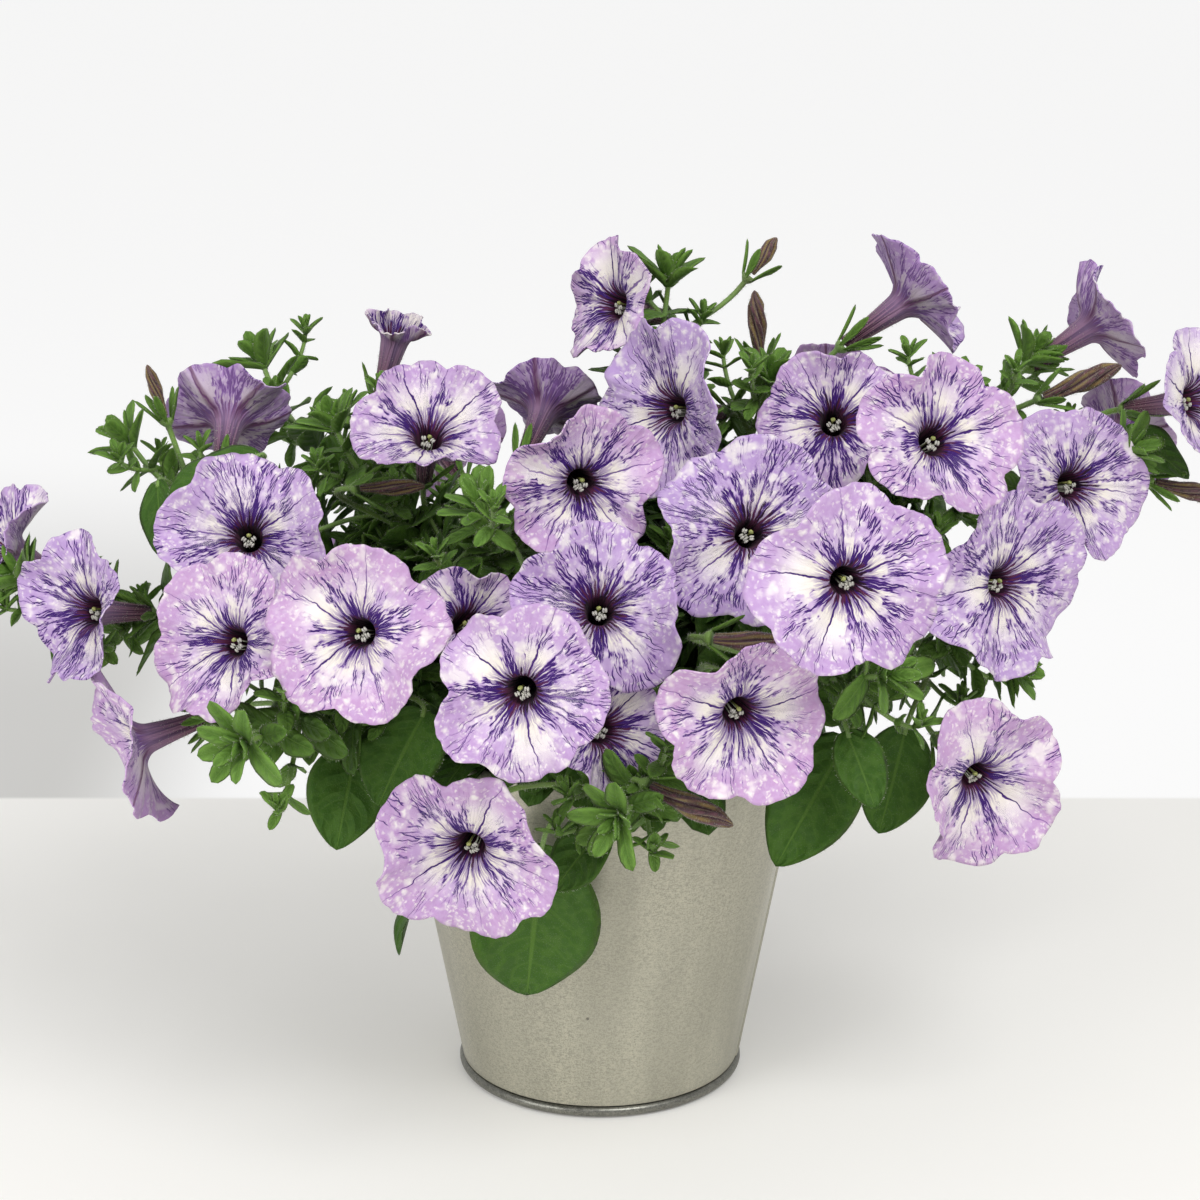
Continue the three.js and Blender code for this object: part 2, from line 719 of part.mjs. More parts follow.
function leafChoices(root, grow, angle, lean, length, width, stations, droop) {
  const choices = [];
  const across = vec(0.23, 0.31, 0.9).cross(grow).normalize();
  const other = grow.clone().cross(across);
  for (const size of [1, 0.8, 0.62]) {
    for (const turn of [0, 22, -22, 44, -44]) {
      for (const tip of [0, 18, -18]) {
        const a = (angle + turn) * degree;
        const t = (lean + tip) * degree;
        const out = across.clone().multiplyScalar(Math.cos(a))
          .addScaledVector(other, Math.sin(a));
        const way = grow.clone().multiplyScalar(Math.cos(t)).addScaledVector(out, Math.sin(t));
        const face = grow.clone().multiplyScalar(Math.sin(t)).addScaledVector(out, -Math.cos(t));
        choices.push({
          root, way, face, length: length * size, width: width * size, stations, droop,
        });
      }
    }
  }
  return choices;
}

// A large leaf on its own stalk: tried upright and swung to either side of its place.
function addLargeLeaf(owner, [, base, tip, width, face], index) {
  const root = from(base);
  const way = from(tip).sub(root);
  const length = way.length();
  way.normalize();
  const face3 = from(face).normalize();
  for (const size of [1, 0.85, 0.7]) {
    for (const lift of [0, 0.2, -0.2, 0.4, -0.4]) {
      for (const side of [0, 0.2, -0.2, 0.4, -0.4]) {
        const across = way.clone().cross(face3).normalize();
        const bent = way.clone().addScaledVector(face3, lift).addScaledVector(across, side)
          .normalize();
        const blade = leafBody({
          root, way: bent, face: face3, length: length * size, width: width * size,
          stations: largeLeaf, droop: 0.1,
        });
        const clear = clears(blade, owner.stem.name);
        if (clear && addStalk(owner, along(root, bent, 2), bent, null, [blade])) {
          return;
        }
      }
    }
  }
  missing.push(`large leaf ${index}`);
}

largeLeaves.forEach((row, index) => {
  addLargeLeaf(grown.find((g) => g.stem.name === row[0]), row, index);
});

for (const owner of grown) {
  const { stem, line } = owner;
  const seed = 40 + stem.index * 17;
  const tip = line[line.length - 1];
  const tipWay = tip.clone().sub(line[line.length - 2]).normalize();
  for (let k = 0; k < tuftLeaves; k += 1) {
    const lean = k < 1 ? 14 : 54;
    const length = k < 1 ? 14 : 18 + swing(seed, k, 2);
    const root = along(tip, tipWay, k < 1 ? -1 : -3);
    tryLeaf(owner, leafChoices(
      root, tipWay, 120 * k, lean, length, length * 0.36, narrowLeaf, 0.1,
    ));
  }
  for (let spot = 3.4, k = 0; spot < 7.6; spot += 1.6, k += 1) {
    const [root, grow] = spotOn(line, spot);
    const age = 1 - spot / 8;
    const length = 18 + 28 * age + swing(seed, 20 + k, 3);
    for (const side of k === 0 ? [0] : [0, 180]) {
      tryLeaf(owner, leafChoices(
        root, grow, 90 * k + side + swing(seed, 40 + k, 15), 62, length,
        length * (0.38 + 0.24 * age), plainLeaf, 0.2,
      ));
    }
  }
}
if (missing.length > 0) {
  throw new Error(`no clear way for ${missing.join(', ')}`);
}

for (const owner of grown) {
  addNode(`stem_${owner.stem.name}`, owner.whole.simplify(0.1), leafPaint);
}

export default part;
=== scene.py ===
"""Dresses the potted petunia: a sheet-metal pot with soil, leafy stems, buds and blooms.

Tables and rules are the ones that the solids were grown by, in millimetres, so that each
fine piece lies where its solid is. Meshes are in metres, with +Z up and -Y to the front.
"""
import math

import bpy
import numpy as np
from mathutils.bvhtree import BVHTree
from mathutils.kdtree import KDTree
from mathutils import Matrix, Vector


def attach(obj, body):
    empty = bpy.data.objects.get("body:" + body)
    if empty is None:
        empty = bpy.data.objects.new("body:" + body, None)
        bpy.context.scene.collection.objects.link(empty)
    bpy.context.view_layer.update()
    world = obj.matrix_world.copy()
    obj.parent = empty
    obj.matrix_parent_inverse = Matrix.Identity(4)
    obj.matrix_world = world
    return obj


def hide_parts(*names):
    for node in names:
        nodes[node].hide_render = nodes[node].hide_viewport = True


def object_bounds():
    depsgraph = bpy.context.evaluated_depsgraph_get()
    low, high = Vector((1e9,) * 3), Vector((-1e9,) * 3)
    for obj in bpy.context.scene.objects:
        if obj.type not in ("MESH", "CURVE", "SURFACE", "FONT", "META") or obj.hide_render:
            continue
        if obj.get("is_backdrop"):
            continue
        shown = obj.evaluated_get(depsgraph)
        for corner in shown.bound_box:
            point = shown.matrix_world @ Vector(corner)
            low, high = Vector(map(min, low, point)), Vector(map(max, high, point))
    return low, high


bl_info = {
    "name": "Potted petunia",
    "version": (1, 0, 0),
    "blender": (4, 5, 0),
    "location": "3D View > Sidebar > Petunia",
    "description": "Builds a petunia in bloom in a tapered galvanised pot",
    "category": "Add Mesh",
}

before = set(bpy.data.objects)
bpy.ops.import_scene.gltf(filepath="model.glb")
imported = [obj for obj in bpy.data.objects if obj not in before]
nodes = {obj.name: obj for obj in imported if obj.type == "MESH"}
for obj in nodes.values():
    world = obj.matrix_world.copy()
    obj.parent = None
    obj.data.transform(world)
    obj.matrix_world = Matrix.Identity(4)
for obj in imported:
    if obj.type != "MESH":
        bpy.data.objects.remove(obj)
solid_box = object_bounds()

MM = 0.001
FULL = 2 * math.pi

# Solid pot and plant, in millimetres.
POT_HEIGHT, BASE_RADIUS, WALL_SLOPE, WALL_THICK = 140, 51.5, 0.186, 1.2
BEAD_RADIUS, BEAD_HEIGHT, SEAM_TURN = 53.6, 4.2, -8
SOIL_TOP, STEM_DEPTH, STEM_RADIUS, STEM_THINNING = 127, 16, 2.1, 0.9
GAP, TUBE_LENGTH, TUBE_RADIUS, THROAT_RADIUS = 0.3, 27, 2.6, 6.4
NOTCH_DEPTH, LOBE_ARCH, CUP_LENGTH = 0.13, 9, 4

# Throat of each bloom, turn (0 faces the front), tilt, spread, opening, curl, stem.
BLOOMS = [
    ("far_left", -215, 0, 202, -62, 38, 50, 24, 6, "far_left"),
    ("left_side", -179, -44, 191, -40, 14, 56, 24, 4, "far_left"),
    ("left_low", -160, -64, 150, -76, -16, 60, 20, -10, "low_left"),
    ("left_face", -124, -86, 193, -32, 18, 58, 20, 4, "low_left"),
    ("left_upper", -120, -62, 223, 2, 26, 60, 16, 0, "mid_left"),
    ("left_back", -137, 30, 242, 176, 34, 50, 24, 0, "left_up"),
    ("front_left", -79, -111, 204, -14, 16, 62, 14, 0, "front"),
    ("top_left", -60, -25, 250, 10, 50, 55, 20, 6, "mid_left"),
    ("back_small", -77, 62, 268, 60, 72, 28, 54, 4, "back_left"),
    ("back_top", -21, 52, 241, 158, 35, 45, 24, 0, "top"),
    ("top_side", 5, 24, 287, -50, 18, 46, 18, 0, "top"),
    ("top_front", 25, -20, 258, -44, 12, 64, 20, 0, "top_right"),
    ("folded", -6, -67, 243, 10, 6, 54, 14, 20, "front"),
    ("front_small", -44, -84, 199, 26, 30, 40, 22, 6, "front"),
    ("front_low", -25, -148, 196, -6, 10, 57, 16, 0, "front"),
    ("front_mid", 0, -105, 210, 4, 26, 57, 16, 0, "front"),
    ("front_under", 1, -110, 170, 24, 16, 43, 18, 4, "low_front"),
    ("right_face", 50, -82, 230, 6, 24, 65, 14, 0, "right_front"),
    ("right_front", 78, -138, 229, 10, 6, 62, 14, 0, "right_front"),
    ("right_upper", 82, -25, 255, 0, 26, 52, 18, 0, "top_right"),
    ("right_upper_b", 111, -82, 262, 22, 28, 57, 18, 0, "right"),
    ("right_back_up", 113, 45, 284, 100, 34, 54, 26, 0, "right_back"),
    ("right_back", 183, 48, 274, 110, 28, 50, 24, 0, "right_back"),
    ("far_right", 213, 2, 256, 50, 14, 52, 20, 0, "far_right"),
    ("right_big", 138, -64, 207, 40, 10, 67, 14, -4, "right_low"),
    ("right_behind", 168, -18, 230, 26, 14, 56, 14, 0, "far_right"),
    ("front_right", 45, -135, 184, 20, -8, 58, 18, 0, "right_front"),
    ("right_low", 130, -78, 141, 24, -12, 62, 20, 0, "right_low"),
    ("low_front", -43, -131, 136, -14, -10, 62, 18, 0, "low_front"),
    ("right_rear", 197, 52, 231, 128, 14, 46, 20, 0, "right_back"),
    ("rear_left", -66, 122, 214, 206, 26, 60, 16, 0, "back_left"),
    ("rear_mid", 18, 138, 190, 172, 10, 60, 14, 0, "back"),
    ("rear_right", 92, 108, 226, 142, 24, 62, 14, 0, "back"),
    ("rear_low", -120, 96, 168, 232, 0, 58, 18, 0, "back_left"),
]
# How much violet ink the veins of each bloom carry.
INK = [
    0.7, 0.8, 0.5, 0.35, 0.7, 0.9, 0.2, 0.6, 0.3, 0.9, 0.4, 0.95, 0.35, 0.45, 0.6, 0.75, 0.7,
    1.0, 0.6, 0.6, 0.45, 0.8, 0.7, 0.9, 0.75, 0.7, 0.2, 0.35, 0.45, 0.6, 0.6, 0.8, 0.5, 0.7,
]
# Hole of each stem, tip, way at the tip.
STEMS = [
    ("far_left", -44, 4, (-206, -22, 197), (-0.8, -0.1, 0.6)),
    ("left_up", -40, 24, (-172, 16, 238), (-0.5, 0.1, 0.85)),
    ("low_left", -38, -22, (-118, -112, 166), (-0.4, -0.85, 0.1)),
    ("mid_left", -20, -8, (-96, 8, 246), (-0.3, -0.1, 0.95)),
    ("back_left", -22, 34, (-128, 62, 258), (-0.3, 0.3, 0.9)),
    ("top", -4, 14, (25, 26, 296), (0.1, 0.1, 1)),
    ("top_right", 14, 0, (60, -6, 266), (0.2, -0.1, 0.95)),
    ("front", -14, -34, (-40, -58, 232), (-0.1, -0.4, 0.9)),
    ("low_front", 2, -48, (6, -130, 147), (0.1, -0.9, -0.2)),
    ("right_front", 26, -30, (96, -88, 182), (0.6, -0.6, 0.3)),
    ("right", 32, -4, (126, -6, 262), (0.4, -0.2, 0.9)),
    ("far_right", 46, 14, (188, -8, 240), (0.8, -0.2, 0.6)),
    ("right_low", 44, -18, (146, -34, 168), (0.8, -0.4, -0.2)),
    ("right_back", 30, 30, (158, 34, 266), (0.5, 0.2, 0.85)),
    ("back", 6, 40, (30, 104, 236), (0.1, 0.6, 0.8)),
]
# Middle of each bud, way it points, length, width, stem, whether it is a faded bloom.
BUDS = [
    ("left_up", (-162, 20, 256), (-0.3, 0, 1), 20, 5, "left_up", 0),
    ("mid_left", (-73, -25, 231), (1, -0.3, 0.1), 24, 6, "mid_left", 0),
    ("top", (60, 35, 303), (0.6, 0.2, 0.8), 16, 6, "top", 0),
    ("top_right", (57, 20, 280), (-0.1, 0, 1), 26, 7, "top_right", 1),
    ("right_back", (174, 8, 262), (0.8, -0.2, 0.4), 30, 8, "right_back", 1),
    ("far_right", (215, 4, 222), (0.97, 0, -0.25), 28, 7, "far_right", 1),
    ("front_right", (50, -112, 201), (0.9, -0.3, 0), 26, 8, "right_front", 0),
    ("low_front", (30, -128, 150), (0.9, -0.3, -0.35), 30, 8, "low_front", 1),
]
# Stem of each large leaf, base of its blade, tip, width, way its face looks.
LARGE_LEAVES = [
    ("low_front", (-20, -86, 120), (-25, -82, 66), 39, (0.05, -1, 0.1)),
    ("low_front", (2, -108, 136), (-14, -114, 118), 17, (-0.4, -1, 0.5)),
    ("right_low", (86, -62, 150), (64, -84, 118), 27, (0.1, -0.8, 0.6)),
    ("right_low", (108, -46, 148), (100, -62, 120), 24, (0.2, -0.9, 0.4)),
    ("right_low", (84, -84, 160), (92, -98, 142), 16, (0.2, -1, 0.3)),
    ("low_left", (-60, -74, 164), (-74, -92, 142), 26, (-0.2, -0.8, 0.6)),
    ("low_left", (-84, -66, 150), (-90, -86, 124), 24, (-0.1, -0.9, 0.5)),
    ("left_up", (-122, -6, 238), (-148, -24, 232), 16, (-0.1, -0.6, 0.8)),
    ("left_up", (-160, 2, 226), (-158, -14, 206), 14, (-0.5, -0.8, 0.2)),
    ("far_left", (-186, -24, 180), (-192, -34, 168), 12, (-0.3, -0.9, 0.3)),
    ("far_right", (190, 8, 244), (210, -2, 232), 14, (0.3, -0.7, 0.7)),
    ("right_low", (122, -40, 186), (142, -56, 182), 13, (0, -0.6, 0.8)),
    ("back", (30, 84, 136), (34, 96, 98), 30, (0, 1, 0.2)),
    ("back_left", (-70, 50, 134), (-84, 66, 104), 26, (-0.7, 0.6, 0.3)),
    ("right_back", (84, 42, 138), (100, 54, 108), 28, (0.8, 0.5, 0.3)),
    ("back_left", (-68, 40, 62), (-80, 30, 34), 20, (-0.8, -0.2, 0.4)),
]


# ---- sizes and colours that a user may change ---------------------------
def length_of(name, value, text):
    return bpy.props.FloatProperty(
        name=name, description=text, default=value * MM, min=0, unit="LENGTH"
    )


def colour_of(name, value, text):
    return bpy.props.FloatVectorProperty(
        name=name, description=text, default=value, size=4, min=0, max=1, subtype="COLOR"
    )


class PotSettings(bpy.types.PropertyGroup):
    zinc: colour_of("Zinc", (0.47, 0.456, 0.374, 1), "Colour of the galvanised wall")
    bead: colour_of("Bead", (0.24, 0.24, 0.215, 1), "Colour of the worn bead at the foot")
    sides: bpy.props.IntProperty(
        name="Sides", description="Flat sides around the pot", default=160, min=32, max=400
    )
    soil: colour_of("Soil", (0.035, 0.022, 0.013, 1), "Colour of the moist potting soil")


class BloomSettings(bpy.types.PropertyGroup):
    lilac: colour_of("Lilac", (0.46, 0.315, 0.59, 1), "Ground colour towards the petal edge")
    mauve: colour_of("Mauve", (0.52, 0.32, 0.55, 1), "Ground colour of blooms with little ink")
    pale: colour_of("Pale lilac", (0.64, 0.51, 0.70, 1), "Ground colour near the throat")
    cream: colour_of("Cream", (0.84, 0.80, 0.77, 1), "Colour of the rays and specks")
    violet: colour_of("Violet", (0.145, 0.042, 0.31, 1), "Colour of the thin veins")
    ink: colour_of("Ink", (0.036, 0.007, 0.125, 1), "Colour of the strong veins")
    throat: colour_of("Throat", (0.016, 0.003, 0.014, 1), "Colour deep in the throat")
    ruffle: length_of("Ruffle", 1.5, "Height of the small waves along the petal edge")
    sheet: length_of("Petal thickness", 0.45, "Thickness of a petal")
    columns: bpy.props.IntProperty(
        name="Columns", description="Faces around a bloom, five lobes alike",
        default=130, min=50, max=300, step=5,
    )


class FoliageSettings(bpy.types.PropertyGroup):
    young: colour_of("Young leaf", (0.145, 0.28, 0.045, 1), "Green of the leaves at the tips")
    grown: colour_of("Grown leaf", (0.043, 0.112, 0.012, 1), "Green of the large leaves")
    vein: colour_of("Leaf vein", (0.18, 0.32, 0.05, 1), "Colour of ribs and leaf margins")
    stem: colour_of("Stem", (0.17, 0.29, 0.075, 1), "Green of the stems")
    hair: colour_of("Hair", (0.70, 0.75, 0.58, 1), "Colour of the fine hairs")
    hair_length: length_of("Hair length", 1.3, "Length of the hairs on stems")
    hair_width: length_of("Hair width", 0.13, "Width of a hair at its root")
    density: bpy.props.FloatProperty(
        name="Hairs", description="Hairs on a square millimetre of stem", default=0.9, min=0
    )


class StageSettings(bpy.types.PropertyGroup):
    floor: colour_of("Floor", (0.80, 0.79, 0.765, 1), "Colour of the table top")
    wall: colour_of("Wall", (0.28, 0.28, 0.28, 1), "Colour of the far surface")
    lens: bpy.props.FloatProperty(
        name="Lens", description="Focal length of the camera on a 36 mm sensor",
        default=87, min=10, unit="CAMERA",
    )
    far: length_of("Camera distance", 1016, "How far in front of the pot the camera stands")
    high: length_of("Camera height", 485, "Height of the camera over the table top")
    pitch: bpy.props.FloatProperty(
        name="Pitch", description="How far the camera looks down", default=math.radians(16.6),
        subtype="ANGLE",
    )


# ---- rules that the solids were grown by ---------------------------------
def draw(a, b):
    """A repeatable draw between 0 and 1."""
    s = math.sin(a * 12.9898 + b * 78.233 + 3.7) * 43758.5453
    return s - math.floor(s)


def swing(a, b, size):
    return (2 * draw(a, b) - 1) * size


def vec(*numbers):
    return np.array(numbers, float)


def unit(v):
    return v / np.linalg.norm(v)


def curve(a, b, c, d, count):
    t = np.linspace(0, 1, count + 1)[:, None]
    return (1 - t) ** 3 * a + 3 * (1 - t) ** 2 * t * b + 3 * (1 - t) * t**2 * c + t**3 * d


def ring_frames(line):
    """For each point of a line, its way and two directions across it."""
    frames, across = [], None
    last = len(line) - 1
    for i in range(len(line)):
        way = unit(line[min(i + 1, last)] - line[max(i - 1, 0)])
        if across is None:
            across = np.cross(vec(0.31, 0.17, 0.93), way)
        across = unit(across - way * across.dot(way))
        frames.append((way, across, np.cross(way, across)))
    return frames


def bar_rings(line, radii, sides):
    a = np.arange(sides) * FULL / sides
    return [
        point + radius * (np.outer(np.cos(a), across) + np.outer(np.sin(a), other))
        for point, radius, (_, across, other) in zip(line, radii, ring_frames(line))
    ]


def spot_on(line, spot):
    whole = int(spot)
    step = line[whole + 1] - line[whole]
    return line[whole] + step * (spot - whole), unit(step)


def stem_corners(stem, bend):
    """The root and the four corners of the curve that a stem follows."""
    _, x, y, tip, way = stem
    low, high, tip = vec(x, y, SOIL_TOP - STEM_DEPTH), vec(x, y, SOIL_TOP + 3), vec(*tip)
    reach = np.linalg.norm(tip - high)
    side = unit(vec(-(tip[1] - high[1]), tip[0] - high[0], 0))
    rise = high + vec(0, 0, reach * 0.42) + side * bend[0]
    near = tip - unit(vec(*way)) * reach * 0.38 + side * bend[1] + vec(0, 0, bend[2])
    return low, (high, rise, near, tip)


def stem_line(stem, bend, count=7):
    low, corners = stem_corners(stem, bend)
    return np.vstack([low, curve(*corners, count)])


STEM_BENDS = [
    (rise, near, lift)
    for lift in (0, 12, -12, 24, -24)
    for near in (0, 14, -14, 28, -28)
    for rise in (0, 10, -10, 20, -20)
]
STALK_PUSHES = [
    vec(x, y, z) * size
    for size in (0, 0.25, 0.5) for x in (0, 1, -1) for y in (0, 1, -1) for z in (0, 1, -1)
]
STALK_SPOTS = [2.3 + 0.5 * i for i in range(11)]
STALK_CHOICES = [(spot, push) for spot in STALK_SPOTS for push in STALK_PUSHES]
# How near to a solid's corner a point has to be to count as shared, in millimetres.
CORNER_REACH = 0.16


def stem_radii(count):
    return [STEM_RADIUS - STEM_THINNING * max(i - 1, 0) / (count - 2) for i in range(count)]


def stalk_line(line, spot, end, way, push, count):
    start, grow = spot_on(line, spot)
    reach = np.linalg.norm(end - start)
    out = start + grow * reach * 0.3 + push * reach
    back = end - way * min(reach * 0.45, 24)
    return curve(start, out, back, end, count)


def bloom_frame(turn, tilt):
    st, ct = math.sin(math.radians(turn)), math.cos(math.radians(turn))
    se, ce = math.sin(math.radians(tilt)), math.cos(math.radians(tilt))
    return vec(ct, st, 0), vec(-st * se, ct * se, ce), vec(st * ce, -ct * ce, se)


def bud_line(bud):
    way = unit(vec(*bud[2]))
    side = unit(np.cross(way, vec(0.2, 0.1, 1)))
    parts = zip((-0.5, -0.3, 0, 0.3, 0.5), (0, 0.3, 0, -0.6, -0.2))
    return [vec(*bud[1]) + way * part * bud[3] + side * off for part, off in parts]


class Trace:
    """Tells which of several shapes a node's solid has, by the corners that they share."""

    def __init__(self, node):
        vertices = nodes[node].data.vertices
        self.tree = KDTree(len(vertices))
        for i, vertex in enumerate(vertices):
            self.tree.insert(vertex.co, i)
        self.tree.balance()

    def share(self, points):
        found = sum(self.tree.find(p * MM)[2] < CORNER_REACH * MM for p in points)
        return found / len(points)

    def best(self, choices, corners):
        return max(choices, key=lambda choice: self.share(corners(choice)))


# ---- mesh helpers ---------------------------------------------------------
class Heap:
    """Gathers the closed forms of one piece, in millimetres, with the values they carry."""

    def __init__(self):
        self.points, self.faces, self.finish, self.marks, self.count = [], [], [], [], 0

    def add(self, points, faces, finish, marks=(0, 0, 0)):
        """faces is an array with three or four corners a row; marks has three values a point."""
        points = np.asarray(points, float)
        self.points.append(points)
        self.faces.append(np.asarray(faces, int) + self.count)
        self.finish.append(np.full(len(faces), finish))
        self.marks.append(np.broadcast_to(np.asarray(marks, float), points.shape))
        self.count += len(points)

    def make(self, name, materials):
        points = np.vstack(self.points) * MM
        mesh = bpy.data.meshes.new(name)
        loops = np.concatenate([f.ravel() for f in self.faces])
        sizes = np.concatenate([np.full(len(f), f.shape[1]) for f in self.faces])
        mesh.vertices.add(len(points))
        mesh.vertices.foreach_set("co", points.ravel())
        mesh.loops.add(len(loops))
        mesh.loops.foreach_set("vertex_index", loops)
        mesh.polygons.add(len(sizes))
        mesh.polygons.foreach_set("loop_start", np.concatenate([[0], np.cumsum(sizes)[:-1]]))
        mesh.polygons.foreach_set("material_index", np.concatenate(self.finish))
        for material in materials:
            mesh.materials.append(material)
        mark = mesh.attributes.new("leaf", "FLOAT_VECTOR", "POINT")
        mark.data.foreach_set("vector", np.vstack(self.marks).ravel())
        mesh.update(calc_edges=True)
        piece = bpy.data.objects.new(name, mesh)
        bpy.context.scene.collection.objects.link(piece)
        close_up(piece)
        return piece


def pick(piece):
    """Makes one object the only selected and active one."""
    bpy.ops.object.select_all(action="DESELECT")
    piece.select_set(True)
    bpy.context.view_layer.objects.active = piece


def join_onto(piece, part):
    """Adds the mesh of one object to another's."""
    pick(piece)
    part.select_set(True)
    bpy.ops.object.join()


def close_up(piece, merge=0.004):
    """Merges doubles, turns all faces outwards and shades the piece smooth."""
    pick(piece)
    bpy.ops.object.mode_set(mode="EDIT")
    bpy.ops.mesh.select_all(action="SELECT")
    bpy.ops.mesh.remove_doubles(threshold=merge * MM)
    bpy.ops.mesh.dissolve_degenerate(threshold=0.001 * MM)
    bpy.ops.mesh.normals_make_consistent(inside=False)
    bpy.ops.object.mode_set(mode="OBJECT")
    bpy.ops.object.shade_smooth()


def keep(piece, slot, *stands_for):
    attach(piece, "root")
    if stands_for:
        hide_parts(*stands_for)
    return piece


def grid_faces(rows, columns, around=False, start=0):
    """Quads over rows of points; around joins the last column to the first."""
    across = columns if around else columns - 1
    i, j = np.meshgrid(np.arange(rows - 1), np.arange(across), indexing="ij")
    a, b = i * columns + j, i * columns + (j + 1) % columns
    return np.stack([a, b, b + columns, a + columns], -1).reshape(-1, 4) + start


def add_bar(heap, line, radii, sides, finish, mark=(0, 0, 0)):
    """A round bar along a line, drawn to a point at both ends."""
    line = np.asarray(line)
    ends = [line[0], *line, line[-1]]
    rings = bar_rings(line, radii, sides)
    points = np.vstack([np.tile(ends[0], (sides, 1)), *rings, np.tile(ends[-1], (sides, 1))])
    heap.add(points, grid_faces(len(line) + 2, sides, True), finish, mark)


def add_hairs(heap, roots, ways, lengths, width, finish):
    """Fine hairs: three-sided spikes that stand on the given roots."""
    count = len(roots)
    if count == 0:
        return
    aside = np.cross(ways, vec(0.37, 0.61, 0.7))
    aside /= np.linalg.norm(aside, axis=1)[:, None] + 1e-9
    other = np.cross(ways, aside)
    points = np.empty((count, 4, 3))
    for k in range(3):
        a = FULL * k / 3
        points[:, k] = roots + (aside * math.cos(a) + other * math.sin(a)) * width / 2
    points[:, 3] = roots + ways * np.asarray(lengths)[:, None]
    base = np.arange(count)[:, None] * 4
    faces = np.vstack([base + f for f in ([0, 1, 3], [1, 2, 3], [2, 0, 3], [2, 1, 0])])
    heap.add(points.reshape(-1, 3), faces, finish)


def hairs_on_bar(heap, line, radii, density, length, width, finish, rng):
    """Hairs all round a bar, spread evenly over its surface."""
    line = np.asarray(line)
    steps = np.linalg.norm(np.diff(line, axis=0), axis=1)
    area = float((steps * FULL * (np.asarray(radii)[:-1])).sum())
    count = int(area * density)
    reach = np.concatenate([[0], np.cumsum(steps)])
    s = rng.random(count) * reach[-1]
    i = np.clip(np.searchsorted(reach, s) - 1, 0, len(steps) - 1)
    t = ((s - reach[i]) / steps[i])[:, None]
    way, across, other = np.array(ring_frames(line)).transpose(1, 0, 2)[:, i]
    a = (rng.random(count) * FULL)[:, None]
    out = across * np.cos(a) + other * np.sin(a)
    radius = (np.asarray(radii)[i] * (1 - t[:, 0]) + np.asarray(radii)[i + 1] * t[:, 0])[:, None]
    roots = line[i] * (1 - t) + line[i + 1] * t + out * (radius - 0.06)
    ways = out + way * rng.uniform(-0.2, 0.5, (count, 1)) + rng.normal(0, 0.16, (count, 3))
    ways /= np.linalg.norm(ways, axis=1)[:, None]
    add_hairs(heap, roots, ways, rng.uniform(0.45, 1.1, count) * length, width, finish)


# ---- node graphs ------------------------------------------------------------
class Value:
    """One output of a node, which plain sums can be written with."""

    def __init__(self, graph, socket):
        self.graph, self.socket = graph, socket

    def __abs__(self):
        return self.graph.math("ABSOLUTE", self)

    def __add__(self, other):
        """A fresh product and what is added to it are one node, which rounds only once."""
        node = self.socket.node
        if node.type == "MATH" and node.operation == "MULTIPLY" and not self.socket.is_linked:
            node.operation = "MULTIPLY_ADD"
            self.graph.feed(node.inputs[2], other)
            return self
        return self.graph.math("ADD", self, other)


def sum_maker(operation, swapped):
    def result(self, other):
        pair = (other, self) if swapped else (self, other)
        return self.graph.math(operation, *pair)

    return result


for _sum, _operation in (("sub", "SUBTRACT"), ("mul", "MULTIPLY"), ("truediv", "DIVIDE"),
                         ("mod", "FLOORED_MODULO")):
    setattr(Value, f"__{_sum}__", sum_maker(_operation, False))
    setattr(Value, f"__r{_sum}__", sum_maker(_operation, True))


class Outputs:
    """The outputs of a node, by name or number, as values."""

    def __init__(self, graph, sockets):
        self.graph, self.sockets = graph, sockets

    def __getitem__(self, key):
        return Value(self.graph, self.sockets[key])


